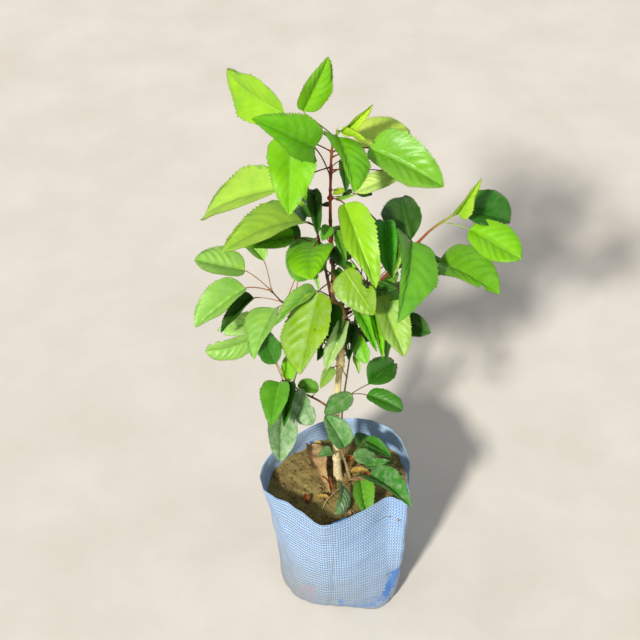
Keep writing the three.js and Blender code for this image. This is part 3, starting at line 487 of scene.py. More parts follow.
# ---------------------------------------------------------------------------
# leaves
# ---------------------------------------------------------------------------
def blade(row, rng, top, under, midrib_to, veins_to, under_ribs, margin, holes=()):
    """One leaf: upper and lower skins that meet at a toothed edge, with its veins and margin."""
    _, limb, t0, paz, pel, plen, az, el, roll, fold, length, width, widest, bend, p, _ = row
    base = limb_point(limb, t0) + bearing(paz, pel) * plen
    m, up, sr, sl = blade_frame(az, el, roll, fold)
    big = length > 48
    n, half, pitch, every, first = (84, 14, 3, 13, 5) if holes else (56, 6, 2, 9, 4) if big else (30, 4, 2, 6, 4)
    tau = (np.arange(n + 1) / n) ** 1.2
    lean = 0.34 * np.sin(math.pi * tau**0.55) * np.clip(tau / 0.07, 0, 1) ** 1.5
    cols = np.arange(-half, half + 1) / half
    phase = rng.uniform(0, 6.28)
    ripple = rng.uniform(0.6, 1.5) * min(1, length / 75)
    quilt = (0.8 if big else 0.4) * rng.uniform(0.8, 1.2)
    if row[15] in ("deep", "deep2", "deepgrey", "dark", "dark2", "shade"):
        quilt *= 0.5
    tooth = min(1.8, 0.013 * length + 0.55)
    bow = rng.uniform(-1.0, 1.0) * 0.02 * length
    dents = waves(rng.randrange(10**6), 6, 26.0)
    row_i = np.arange(n + 1)
    row_wave = 0.5 - 0.5 * np.cos(2 * math.pi * (row_i - first) / every)
    edge = np.sin(math.pi * np.clip(tau, 0, 1)) ** 0.5
    # a round, single-sided curl in each half instead of one flat plane a side
    points = np.zeros((n + 1, 2 * half + 1, 3))
    normal_side = {1: np.cross(sr, m), -1: np.cross(m, sl)}
    for k in (1, -1):
        if normal_side[k] @ up < 0:
            normal_side[k] = -normal_side[k]
    jag_of = {k: np.array([rng.uniform(0.55, 1.25) for _ in range(n // pitch + 2)]) for k in (1, -1)}
    for j, s in enumerate(cols):
        k = 1 if s >= 0 else -1
        a = abs(s)
        t = tau + lean * a**1.25
        w = half_width(t, of_side(widest, k), of_side(p, k))
        mid = midrib(base, m, up, length, bend, t)
        side = sr if k > 0 else sl
        pts = mid + (w * width / 2 * a)[:, None] * side
        # rounded shoulders that reach back past the petiole
        pts = pts - (0.042 * length * a * a * np.sin(math.pi * np.clip(t / 0.34, 0, 1)) ** 1.0)[:, None] * m
        lift = 0.16 * width / 2 * w * (a - a * a) * 1.8
        lift = lift + ripple * a**2 * np.sin(t * 10 + phase + (2.1 if k < 0 else 0)) * np.sin(math.pi * np.clip(t, 0, 1))
        lift = lift + quilt * row_wave * math.sin(math.pi * min(a * 1.08, 1)) ** 0.8 * edge
        pts = pts + lift[:, None] * normal_side[k]
        pts = pts + (0.5 * a * dents(pts) * edge)[:, None] * up
        pts = pts + (bow * np.sin(math.pi * t) ** 2)[:, None] * np.cross(m, up)
        if a > 0.99:
            fade = np.clip((t - 0.16) / 0.12, 0, 1) * np.clip((1 - t) / 0.05, 0, 1)
            step = (row_i % pitch) / (pitch - 1) * 1.35 - 0.35
            jag = step * tooth * fade * jag_of[k][row_i // pitch]
            pts = pts + jag[:, None] * (0.95 * side + 0.7 * m)
        points[:, j] = pts
    points[0, :] = base
    # lower skin: the same sheet set back by the leaf's thickness, meeting it at the edge
    dt = np.gradient(points, axis=0)
    ds = np.gradient(points, axis=1)
    nrm = np.cross(ds, dt)
    ln = np.linalg.norm(nrm, axis=2)
    nrm = nrm / np.maximum(ln, 1e-9)[..., None]
    nrm[ln < 1e-6] = up
    nrm *= np.sign((nrm @ up))[..., None] + (nrm @ up == 0)[..., None]
    back = points - nrm * 0.32
    back[:, 0], back[:, -1] = points[:, 0], points[:, -1]
    back[0], back[-1] = points[0], points[-1]
    wide = 2 * half + 1
    ragged = waves(rng.randrange(10**6), 5, 7.0)
    kept = np.ones((n, wide - 1), bool)
    if holes:
        tc = 0.5 * (tau[1:] + tau[:-1])[:, None] + lean[1:, None] * np.abs(cols[1:] + cols[:-1])[None] ** 1.25 / 2**1.25
        sc = ((cols[1:] + cols[:-1]) / 2)[None] * np.ones((n, 1))
        wide_r, wide_l = (half_width(tc, of_side(widest, k), of_side(p, k)) for k in (1, -1))
        spread = np.where(sc >= 0, wide_r, wide_l) * width / 2
        rough = 1 + 0.22 * ragged(points[:-1, :-1])
        for ht, hs, rt, rs in holes:
            kept &= ((tc - ht) * length / rt) ** 2 + ((sc * spread - hs) / rs) ** 2 > rough
    keep = [(r * wide + c, r * wide + c + 1, (r + 1) * wide + c + 1, (r + 1) * wide + c) for r in range(n) for c in range(wide - 1) if kept[r, c]]
    flat, flat_back = points.reshape(-1, 3), back.reshape(-1, 3)
    mid_row = (n // 2) * wide + half
    facing = np.cross(flat[mid_row + 1] - flat[mid_row], flat[mid_row + wide] - flat[mid_row]) @ up > 0
    top.add(flat, keep if facing else [f[::-1] for f in keep])
    under.add(flat_back, [f[::-1] for f in keep] if facing else keep)
    if holes:
        seen_edges = {}
        for f in keep:
            for a_, b_ in zip(f, f[1:] + f[:1]):
                seen_edges[(a_, b_)] = True
        rim = [(a_, b_) for a_, b_ in seen_edges if (b_, a_) not in seen_edges and not (a_ % wide in (0, wide - 1) and b_ % wide in (0, wide - 1)) and a_ >= wide and b_ >= wide]
        for a_, b_ in rim:
            under.add([flat[a_], flat[b_], flat_back[b_], flat_back[a_]], [(0, 1, 2, 3)])

    # veins, as fine raised ribs on both skins
    def rib(path, across, nrm_at, wide_at, to, up_by):
        pts = []
        for q, s_, n_, w_ in zip(path, across, nrm_at, wide_at):
            pts += [q - s_ * w_ - n_ * up_by * 0.3, q + n_ * up_by, q + s_ * w_ - n_ * up_by * 0.3]
        faces = grid_faces(len(path), 3)
        f0 = np.cross(pts[1] - pts[0], pts[3] - pts[0])
        if f0 @ (nrm_at[0] * np.sign(up_by)) < 0:
            faces = [f[::-1] for f in faces]
        to.add(pts, faces)

    thick = (0.5 if big else 0.36) * (0.7 + length / 240)
    whole = kept.all(axis=1) if not holes else np.array([kept[r, half - 1] and kept[r, half] for r in range(n)])
    last = n - 1 if whole.all() else int(np.argmax(~whole))
    for surface, sign, main, side_to in ((points, 1, midrib_to, veins_to), (back, -1, under_ribs, under_ribs)):
        path = surface[1:last, half]
        if len(path) < 4:
            continue
        side = surface[1:last, half + 1] - surface[1:last, half - 1]
        side /= np.maximum(np.linalg.norm(side, axis=1), 1e-6)[:, None]
        w = thick * (1 - 0.8 * tau[1:last]) * (1.0 if sign > 0 else 1.6)
        rib(path, side, np.tile(up, (len(path), 1)), w, main, sign * (0.22 if sign > 0 else 0.6))
        for r in range(first, min(n - 4, last), every):
            for k in (1, -1):
                js = [half + k * q for q in range(0, half) if q == 0 or kept[r, half + k * q - (1 if k > 0 else 0)]]
                if len(js) < 3 or (holes and len(js) < half):
                    continue
                path = surface[r, js]
                along = surface[min(r + 1, n), js] - surface[r - 1, js]
                along /= np.maximum(np.linalg.norm(along, axis=1), 1e-6)[:, None]
                w = thick * 0.42 * np.linspace(1, 0.4, len(js)) * (1.0 if sign > 0 else 1.4)
                rib(path, along, nrm[r, js], w, side_to, sign * (0.12 if sign > 0 else 0.4))
    # the margin: a fine bead along the teeth, broken where the leaf is eaten
    if margin is not None:
        for col, c in ((0, 0), (wide - 1, wide - 2)):
            run = []
            for r in range(2, n + 1):
                if kept[min(r, n - 1), c] and r < n:
                    run.append(r)
                    continue
                if len(run) > 3:
                    tube(margin, points[run, col], np.full(len(run), 0.2 if big else 0.14), 3)
                run = []
    return base


def petiole(patch, limb, t0, base, az, el, thick, rng):
    start = limb_point(limb, t0)
    m = bearing(az, el)
    span = np.linalg.norm(base - start)
    if span < 0.5:
        return
    # leaves the limb rising a little, and comes into line with the blade
    line = (base - start) / span
    out = line + np.array([0, 0, 0.22])
    out /= np.linalg.norm(out)
    c1 = start + out * span * 0.36
    c2 = base - (m * 0.35 + line * 0.8 + np.array([0, 0, -0.16])) * span * 0.24
    n = max(7, int(span / 3.0))
    t = np.linspace(0, 1, n)[:, None]
    path = (1 - t) ** 3 * start + 3 * (1 - t) ** 2 * t * c1 + 3 * (1 - t) * t * t * c2 + t**3 * base
    t = t[:, 0]
    r = thick * (0.78 + 0.55 * np.exp(-((t / 0.08) ** 2)) + 0.3 * np.exp(-(((1 - t) / 0.07) ** 2)))
    tube(patch, path, r, 7)


# ---------------------------------------------------------------------------
# materials
# ---------------------------------------------------------------------------
def linear(rgb):
    return [((c / 255) / 12.92 if c <= 10 else ((c / 255 + 0.055) / 1.055) ** 2.4) for c in rgb]


class Nodes:
    def __init__(self, name):
        self.m = bpy.data.materials.new(name)
        self.m.use_nodes = True
        self.t = self.m.node_tree
        self.t.nodes.clear()
        self.out = self.t.nodes.new("ShaderNodeOutputMaterial")
        self.place = self.t.nodes.new("ShaderNodeTexCoord").outputs["Object"]

    def new(self, kind, **values):
        n = self.t.nodes.new(kind)
        for k, v in values.items():
            if hasattr(n, k):
                setattr(n, k, v)
            else:
                n.inputs[k.replace("_", " ")].default_value = v
        return n

    def link(self, a, b):
        self.t.links.new(a, b)

    def noise(self, scale, detail=3.0, rough=0.55, at=None):
        n = self.new("ShaderNodeTexNoise")
        n.inputs["Scale"].default_value = scale
        n.inputs["Detail"].default_value = detail
        n.inputs["Roughness"].default_value = rough
        self.link(at or self.place, n.inputs["Vector"])
        return n.outputs["Fac"]

    def ramp(self, fac, stops, smooth=False):
        n = self.new("ShaderNodeValToRGB")
        while len(n.color_ramp.elements) < len(stops):
            n.color_ramp.elements.new(0.5)
        for e, (p, c) in zip(n.color_ramp.elements, stops):
            e.position = p
            e.color = (*c, 1) if len(c) == 3 else c
        if smooth:
            n.color_ramp.interpolation = "EASE"
        self.link(fac, n.inputs["Fac"])
        return n.outputs["Color"]

    def mix(self, fac, a, b, kind="MIX"):
        n = self.new("ShaderNodeMix", data_type="RGBA", blend_type=kind)
        sock = {"F": n.inputs[0], "A": n.inputs[6], "B": n.inputs[7]}
        for key, v in (("F", fac), ("A", a), ("B", b)):
            if isinstance(v, bpy.types.NodeSocket):
                self.link(v, sock[key])
            else:
                sock[key].default_value = v if key == "F" else (*v, 1) if len(v) == 3 else v
        return n.outputs[2]

    def math(self, op, a, b=None, c=None):
        n = self.new("ShaderNodeMath", operation=op)
        for k, v in enumerate((a, b, c)):
            if v is None:
                continue
            if isinstance(v, bpy.types.NodeSocket):
                self.link(v, n.inputs[k])
            else:
                n.inputs[k].default_value = v
        return n.outputs[0]

    def bump(self, height, strength, distance):
        n = self.new("ShaderNodeBump")
        n.inputs["Strength"].default_value = strength
        n.inputs["Distance"].default_value = distance
        self.link(height, n.inputs["Height"])
        return n.outputs["Normal"]

    def principled(self, rough=0.5, specular=0.5, **values):
        n = self.new("ShaderNodeBsdfPrincipled")
        n.inputs["Roughness"].default_value = rough
        n.inputs["Specular IOR Level"].default_value = specular
        for k, v in values.items():
            n.inputs[k.replace("_", " ")].default_value = v
        return n


def leaf_material(name, rgb, rough=0.42, through=0.28, glow=None, specular=0.5, dust_and_sheen=0.0):
    k = Nodes(name)
    base = linear(rgb)
    broad = k.ramp(k.noise(30, 3), [(0.32, (0, 0, 0)), (0.68, (1, 1, 1))])
    patchy = k.ramp(k.noise(95, 4, 0.6), [(0.40, (0, 0, 0)), (0.72, (1, 1, 1))])
    fine = k.ramp(k.noise(420, 2), [(0.35, (0, 0, 0)), (0.75, (1, 1, 1))])
    tone = k.mix(broad, [base[0] * 0.74, base[1] * 0.82, base[2] * 0.8], [min(1, base[0] * 1.16), min(1, base[1] * 1.06), base[2] * 0.95])
    pale = [min(1, c * 0.82 + 0.18 * g) for c, g in zip(base, (0.55, 0.72, 0.30))]
    tone = k.mix(k.math("MULTIPLY", patchy, 0.55), tone, pale)
    tone = k.mix(k.math("MULTIPLY", fine, 0.3), tone, [min(1, c * 1.12 + 0.004) for c in base])
    # pale cloudy film, partly dust and partly painted sheen standing in for the gloss of the leaves
    if dust_and_sheen:
        dust_sheen_film = k.ramp(k.noise(95, 6, 0.78), [(0.44, (0, 0, 0)), (0.64, (1, 1, 1))])
        tone = k.mix(k.math("MULTIPLY", dust_sheen_film, dust_and_sheen), tone, linear((204, 218, 186)))
    shader = k.principled(rough, specular)
    k.link(tone, shader.inputs["Base Color"])
    height = k.math("ADD", k.math("MULTIPLY", k.noise(900, 3), 0.35), k.math("MULTIPLY", k.noise(190, 3), 1.0))
    k.link(k.bump(height, 0.5, 0.0009), shader.inputs["Normal"])
    if through:
        glow = linear(glow) if glow else [min(1, base[0] * 1.5 + 0.05), min(1, base[1] * 1.3 + 0.05), base[2] * 0.6]
        tr = k.new("ShaderNodeBsdfTranslucent")
        tr.inputs["Color"].default_value = (*glow, 1)
        mixer = k.new("ShaderNodeMixShader")
        mixer.inputs[0].default_value = through
        k.link(shader.outputs[0], mixer.inputs[1])
        k.link(tr.outputs[0], mixer.inputs[2])
        k.link(mixer.outputs[0], k.out.inputs[0])
    else:
        k.link(shader.outputs[0], k.out.inputs[0])
    return k.m


def bark_material(name, stops, rough=0.75, scale=1.0, low=0.176, high=0.52):
    """Bark whose colour changes with height, with lenticels and fine cracks."""
    k = Nodes(name)
    sep = k.new("ShaderNodeSeparateXYZ")
    k.link(k.place, sep.inputs[0])
    h = k.new("ShaderNodeMapRange")
    h.inputs["From Min"].default_value, h.inputs["From Max"].default_value = low, high
    k.link(sep.outputs["Z"], h.inputs["Value"])
    wander = k.math("ADD", h.outputs[0], k.math("MULTIPLY", k.math("SUBTRACT", k.noise(60, 3), 0.5), 0.12))
    tone = k.ramp(wander, [(p, linear(c)) for p, c in stops])
    stretch = k.new("ShaderNodeMapping")
    stretch.inputs["Scale"].default_value = (1, 1, 0.25)
    k.link(k.place, stretch.inputs["Vector"])
    grain = k.noise(900 * scale, 4, 0.6, stretch.outputs[0])
    dark = k.ramp(grain, [(0.38, (0.55, 0.5, 0.45)), (0.62, (1.08, 1.05, 1.0))])
    colour = k.mix(0.75, tone, dark, "MULTIPLY")
    spots = k.new("ShaderNodeTexVoronoi")
    spots.inputs["Scale"].default_value = 260 * scale
    k.link(k.place, spots.inputs["Vector"])
    fleck = k.ramp(spots.outputs["Distance"], [(0.0, (1, 1, 1)), (0.16, (0, 0, 0))])
    colour = k.mix(k.math("MULTIPLY", fleck, 0.35), colour, linear((120, 90, 60)))
    shader = k.principled(rough, 0.3)
    k.link(colour, shader.inputs["Base Color"])
    k.link(k.bump(grain, 0.5, 0.0006), shader.inputs["Normal"])
    k.link(shader.outputs[0], k.out.inputs[0])
    return k.m


def plain_material(name, rgb, rgb2, rough=0.6, scale=300, strength=0.3, distance=0.0005, specular=0.35):
    k = Nodes(name)
    fac = k.ramp(k.noise(scale, 4, 0.6), [(0.35, (0, 0, 0)), (0.65, (1, 1, 1))])
    shader = k.principled(rough, specular)
    k.link(k.mix(fac, linear(rgb), linear(rgb2)), shader.inputs["Base Color"])
    k.link(k.bump(k.noise(scale * 2.5, 4), strength, distance), shader.inputs["Normal"])
    k.link(shader.outputs[0], k.out.inputs[0])
    return k.m


# ---------------------------------------------------------------------------
# colours
# ---------------------------------------------------------------------------
# colour group: upper side, roughness, light through, ribs, lower side
# upper-side colours also hold painted light and shade: the sun, bright and sheen groups are lightened as painted
# sunlight and sheen for leaves standing in the sun, the shade, dark, deep and spray groups are darkened as painted
# shade for leaves lying in shadow, and palegrn and greytop are lightened as painted sunlight for leaves that lie in the
# shade of others
TINTS = {
    "top": ((141, 215, 13), 0.36, 0.30, "light", "fresh"),
    "topsun": ((165, 221, 34), 0.36, 0.30, "light", "fresh"),
    "midtop": ((121, 209, 2), 0.38, 0.28, "light", "fresh"),
    "sheen": ((131, 198, 48), 0.34, 0.28, "light", "fresh"),
    "bright": ((144, 191, 16), 0.38, 0.28, "light", "fresh"),
    "bright2": ((149, 225, 39), 0.40, 0.30, "light", "fresh"),
    "young": ((205, 244, 64), 0.40, 0.34, "light", "fresh"),
    "youngleaf": ((185, 230, 63), 0.42, 0.34, "light", "fresh"),
    "youngpale": ((184, 233, 107), 0.48, 0.34, "light", "fresh"),
    "pale": ((181, 225, 75), 0.42, 0.26, "light", "fresh"),
    "palegrn": ((220, 255, 140), 0.42, 0.30, "light", "fresh"),
    "pale2": ((163, 207, 76), 0.44, 0.26, "light", "fresh"),
    "coolsun": ((158, 213, 93), 0.38, 0.26, "light", "fresh"),
    "coolpale": ((196, 247, 136), 0.42, 0.26, "light", "fresh"),
    "cool": ((110, 188, 41), 0.40, 0.20, "cool", "dull"),
    "cool2": ((120, 205, 33), 0.42, 0.20, "cool", "dull"),
    "mid": ((109, 178, 20), 0.40, 0.22, "light", "fresh"),
    "mid2": ((118, 199, 3), 0.42, 0.24, "light", "fresh"),
    "mid3": ((105, 173, 42), 0.42, 0.20, "cool", "dull"),
    "spray": ((38, 122, 2), 0.40, 0.16, "deep", "dull"),
    "dark": ((47, 99, 18), 0.44, 0.14, "deep", "dull"),
    "dark2": ((61, 161, 12), 0.44, 0.14, "deep", "dull"),
    "deep": ((58, 131, 22), 0.40, 0.15, "deep", "dull"),
    "deep2": ((58, 135, 36), 0.40, 0.15, "cool", "dull"),
    "deepgrey": ((84, 148, 65), 0.48, 0.14, "cool", "dull"),
    "grey": ((123, 169, 110), 0.50, 0.16, "cool", "dull"),
    "greytop": ((223, 255, 102), 0.46, 0.24, "light", "fresh"),
    "under": ((215, 252, 162), 0.52, 0.24, "light", "dull"),
    "shade": ((51, 110, 27), 0.46, 0.14, "deep", "dull"),
}
# groups that get the pale film of dust and painted sheen, and how strong it is
DUST_AND_SHEEN = {"deepgrey": 0.3, "grey": 0.7, "under": 0.55, "deep2": 0.3, "coolpale": 0.4, "bright": 0.2, "pale2": 0.2, "coolsun": 0.16}
RIBS = {"light": (180, 216, 102), "cool": (152, 198, 108), "deep": (110, 164, 70)}
VEINS = {"light": (164, 216, 64), "cool": (124, 186, 74), "deep": (84, 142, 48)}
MARGINS = {"light": (122, 86, 42), "cool": (84, 110, 48), "deep": (62, 72, 34)}
LOWER = {"fresh": (150, 194, 90), "dull": (112, 158, 80)}
PETIOLES = {"red": ((122, 44, 34), (92, 52, 30)), "pink": ((186, 142, 104), (160, 108, 80)), "brown": ((128, 98, 56), (104, 78, 44)), "green": ((150, 190, 70), (130, 130, 60))}

# ---------------------------------------------------------------------------
# limbs with bark
# ---------------------------------------------------------------------------
back_rows = grow_back(LEAVES)
rows = LEAVES + back_rows

node_marks = {}
for r in rows:
    node_marks.setdefault(r[1], []).append(r[2])


def limb_mesh(name, sides, step, relief_mm):
    r0, r1, knots = LIMBS[name]
    rough = catmull(knots, None)
    length = np.linalg.norm(np.diff(rough, axis=0), axis=1).sum()
    n = max(6, int(length / step) + 1)
    path = catmull(knots, n)
    u = np.linspace(0, 1, n)
    radii = r0 + (r1 - r0) * u ** (0.72 if name == "trunk" else 0.9)
    if name == "trunk":
        radii = radii + 1.9 * np.exp(-(path[:, 2] - STEM_Z) / 16) + 1.0 * np.exp(-(((path[:, 2] - 486) / 12) ** 2))
        for z, more in ((262, 0.35), (331, 0.5), (398, 0.45), (436, 0.5), (463, 0.6)):
            radii = radii + more * np.exp(-(((path[:, 2] - z) / 4.0) ** 2))
    for t in node_marks.get(name, []):
        radii = radii + 0.16 * r0 * np.exp(-(((u - t) * length / 2.6) ** 2))
    coarse, fine = waves(len(name) * 7 + 1, 7, 14.0), waves(len(name) * 13 + 2, 9, 3.2)
    cracks = random.Random(len(name) * 5 + 3)
    furrow = [(cracks.uniform(0, 6.28), cracks.uniform(0.6, 1.4), cracks.uniform(0, 6.28)) for _ in range(5)]

    def relief(ring, a, i):
        z = path[i][2]
        f = sum(np.cos((a - o) * 3 + 0.6 * math.sin(z / 17 * k + q)) for o, k, q in furrow) / 5
        return relief_mm * (0.5 * coarse(ring) + 0.45 * fine(ring) * 0.6 + 0.5 * f)

    p = Patch()
    tube(p, path, radii, sides, relief, flat_start=name in ("trunk", "side_stem", "basal_shoot"))
    return p


old_bark = bark_material("old_bark", [(0.0, (240, 226, 180)), (0.25, (244, 230, 174)), (0.62, (240, 222, 164)), (0.86, (208, 180, 122)), (1.0, (190, 158, 102))], 0.78)
side_bark = bark_material("side_bark", [(0.0, (200, 178, 136)), (0.3, (158, 126, 84)), (0.55, (112, 86, 50)), (1.0, (96, 70, 40))], 0.7, 1.4)
leader_bark = bark_material("leader_bark", [(0.0, (198, 166, 108)), (0.12, (172, 132, 80)), (0.24, (98, 58, 36)), (0.42, (132, 46, 28)), (0.8, (150, 54, 28)), (0.93, (140, 100, 40)), (1.0, (130, 170, 50))], 0.5, 1.6, 0.505, 0.772)
left_bark = bark_material("left_bark", [(0.0, (110, 86, 50)), (0.4, (84, 42, 34)), (1.0, (112, 44, 34))], 0.55, 1.6, 0.505, 0.68)
right_bark = bark_material("right_bark", [(0.0, (128, 96, 58)), (0.45, (148, 72, 48)), (0.78, (178, 92, 60)), (0.9, (166, 170, 70)), (1.0, (156, 196, 66))], 0.5, 1.6, 0.485, 0.69)
low_bark = bark_material("low_bark", [(0.0, (168, 120, 84)), (1.0, (140, 84, 62))], 0.6, 1.6, 0.30, 0.37)
green_bark = bark_material("green_bark", [(0.0, (180, 190, 130)), (1.0, (150, 150, 90))], 0.55, 1.8, 0.17, 0.21)

limb_style = {
    "trunk": (30, 1.6, 0.30, old_bark), "leader": (14, 2.0, 0.13, leader_bark), "left_shoot": (12, 2.2, 0.10, left_bark),
    "right_shoot": (12, 2.2, 0.10, right_bark), "side_stem": (12, 2.2, 0.12, side_bark), "side_twig": (9, 2.4, 0.05, side_bark),
    "low_left_bough": (10, 2.2, 0.08, low_bark), "left_bough": (10, 2.2, 0.08, side_bark), "low_right_bough": (10, 2.2, 0.08, side_bark),
    "basal_shoot": (10, 2.2, 0.06, low_bark), "sucker": (8, 2.0, 0.04, green_bark),
}
for name, (sides, step, relief_mm, bark) in limb_style.items():
    piece = make(name + "_bark", limb_mesh(name, sides, step, relief_mm), [bark])
    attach(piece, "root")
    if name in LIMB_NODES:
        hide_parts(name)

# cut stubs of older side boughs round the fork
stubs = Patch()
stub_rng = random.Random(77)
for foot, az, el, span, r in (
    ((6, 6, 487), 10, 25, 9, 2.0), ((6, 5, 496), -25, 35, 8, 1.7), ((5, 4, 480), -5, -8, 7, 1.5), ((-5, 4, 500), 200, 30, 6, 1.5),
    ((6, 6, 462), -60, 15, 5, 1.2), ((-1, 8, 425), 215, 20, 5, 1.1), ((-8, 9, 392), 190, 15, 4, 1.0),
):
    path = np.array([np.array(foot) + bearing(az, el) * span * k for k in (0, 0.35, 0.7, 0.96, 1.0)])
    tube(stubs, path, np.array([r * 1.25, r * 1.05, r, r * 0.95, r * 0.55]), 10, (lambda w: lambda ring, a, i: 0.16 * w(ring))(waves(stub_rng.randrange(999), 6, 3.0)))
piece = make("pruned_stubs", stubs, [side_bark])
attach(piece, "root")

# ---------------------------------------------------------------------------
# leaves, petioles and stipules
# ---------------------------------------------------------------------------
tops = {k: Patch() for k in TINTS}
lowers, under_ribs = ({k: Patch() for k in LOWER} for _ in range(2))
midribs, side_veins, margins = ({k: Patch() for k in RIBS} for _ in range(3))
stalks = {k: Patch() for k in PETIOLES}
stipules = Patch()
for i, row in enumerate(rows):
    rng = random.Random(9000 + i)
    tint = row[15]
    _, _, _, rib, lower = TINTS[tint]
    eaten = EATEN.get(i, ())
    base = blade(row, rng, tops[tint], lowers[lower], midribs[rib], side_veins[rib], under_ribs[lower], margins[rib] if i < len(LEAVES) else None, eaten)
    tops[tint].nodes.add(row[0])
    limb, t0, length = row[1], row[2], row[10]
    if limb in ("side_stem", "side_twig", "low_right_bough"):
        kind = "brown"
    elif limb in ("basal_shoot", "low_left_bough", "left_bough", "sucker"):
        kind = "pink"
    elif tint in ("young", "youngleaf", "youngpale") or (limb == "right_shoot" and t0 > 0.8) or (limb == "leader" and t0 > 0.955):
        kind = "green"
    else:
        kind = "red"
    petiole(stalks[kind], limb, t0, base, row[6], row[7], 0.55 + 0.5 * min(1, length / 95), rng)
    if length > 26 and limb != "sucker":
        at = limb_point(limb, t0)
        for k in (-1, 1):
            d = bearing(row[3] + k * 60, 35)
            q = at + d * 1.2
            side = np.cross(d, [0, 0, 1.0])
            side /= np.linalg.norm(side)
            tip = q + d * 3.2 + np.array([0, 0, 1.6])
            stipules.add([q - side * 0.45, q + side * 0.45, q + d * 0.5 + [0, 0, 0.5], tip], [(0, 1, 3), (1, 2, 3), (2, 0, 3), (0, 2, 1)])

for tint, patch in tops.items():
    if not patch.count:
        continue
    rgb, rough, through, _, _ = TINTS[tint]
    piece = make("leaves_" + tint, patch, [leaf_material("leaf_" + tint, rgb, rough, through, dust_and_sheen=DUST_AND_SHEEN.get(tint, 0.0))])
    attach(piece, "root")
    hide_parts(*sorted(patch.nodes))


def finish_piece(name, patch, material, smooth=True):
    piece = make(name, patch, [material], smooth)
    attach(piece, "root")
    return piece


for key, patch in lowers.items():
    finish_piece("leaf_undersides_" + key, patch, leaf_material("underside_" + key, LOWER[key], 0.6, 0.22, specular=0.25))
for label, patches, tones in (("midribs", midribs, RIBS), ("side_veins", side_veins, VEINS), ("leaf_margins", margins, MARGINS)):
    for key, patch in patches.items():
        finish_piece(label + "_" + key, patch, plain_material(label + "_" + key, tones[key], [c * 0.86 for c in tones[key]], 0.5, 300, 0.1, 0.0002))
for key, patch in under_ribs.items():
    tone = [min(255, c * 1.12 + 6) for c in LOWER[key]]
    finish_piece("underside_ribs_" + key, patch, plain_material("under_ribs_" + key, tone, [c * 0.9 for c in tone], 0.55, 400, 0.1, 0.0002))
for key, patch in stalks.items():
    finish_piece("petioles_" + key, patch, plain_material("petiole_" + key, *PETIOLES[key], 0.45, 160, 0.15, 0.0003))
finish_piece("stipules", stipules, plain_material("stipule", (140, 180, 70), (120, 110, 50), 0.5, 300, 0.1, 0.0002), False)

# ---------------------------------------------------------------------------
# grow bag
# ---------------------------------------------------------------------------
def bag_knots(z):
    k0 = z / RIM_Z
    s = np.interp(z, [0, 3, 8, 16, 30], [0.925, 0.955, 0.977, 0.992, 1.0])
    out = []
    for rx, ry, fx, fy, late in BAG_SIDES:
        k = k0**late
        out.append(((fx + (rx - fx) * k) * s, (fy + (ry - fy) * k) * s, z))
    return out


def bag_ring(z, every=2):
    return catmull(bag_knots(z), None, closed=True)[::every]


def smooth_step(x):
    x = np.clip(x, 0, 1)
    return x * x * (3 - 2 * x)


sag_a, sag_b, sag_c = waves(5, 6, 78.0), waves(6, 7, 33.0), waves(8, 8, 13.0)


def bag_skin(z, inner=0.0):
    """Bag wall at a height: the plan, with its folds, hollows and creases."""
    ring = bag_ring(z)
    n = len(ring) - 1
    st = np.arange(n + 1) / n * 14.0
    d = np.roll(ring[:-1], -1, axis=0) - np.roll(ring[:-1], 1, axis=0)
    d = np.vstack([d, d[:1]])
    out = np.stack([d[:, 1], -d[:, 0], np.zeros(n + 1)], -1)
    out /= np.linalg.norm(out, axis=1)[:, None]
    up = z / RIM_Z
    move = 1.1 * sag_a(ring) * math.sin(math.pi * min(1, up * 1.1)) ** 0.5 + 0.75 * sag_b(ring) + 0.22 * sag_c(ring)
    move[-1] = move[0]

    def crease(centre, depth, wide, lo=0.0, hi=1.0):
        gate = smooth_step((up - lo) / 0.12) * smooth_step((hi - up) / 0.12)
        dd = (st - centre + 7) % 14 - 7
        return -depth * gate * np.exp(-((dd / wide) ** 2))

    move = move + crease(10.05 + 0.12 * math.sin(up * 4), 1.5, 0.05, -0.2, 0.86)
    move = move - crease(9.9, 1.0, 0.16, -0.2, 1.2)
    move = move - crease(9.9, 1.6, 0.24, 0.72, 1.5)
    move = move + crease(13.35 - 0.1 * up, 1.7, 0.10, 0.1, 1.3)
    move = move + crease(12.3 + 0.5 * up, 1.4, 0.2, 0.25, 0.9)
    move = move + crease(8.6 - 0.5 * up, 1.5, 0.22, 0.1, 0.8)
    move = move + crease(11.4 - 0.4 * up, 1.1, 0.25, 0.0, 0.6)
    # slanting pulls from the foot corners
    for c0, slope, depth in ((9.2, 1.6, 1.2), (10.6, -1.4, 1.1), (12.6, -1.2, 1.0), (7.6, 1.1, 1.1), (5.2, 1.0, 1.1), (2.4, -1.2, 1.1), (0.6, 0.9, 0.9)):
        move = move + crease(c0 + slope * up, depth, 0.13, -0.1, 0.5)
    move = move - inner
    ring = ring + out * move[:, None]
    ring[-1] = ring[0]
    return ring


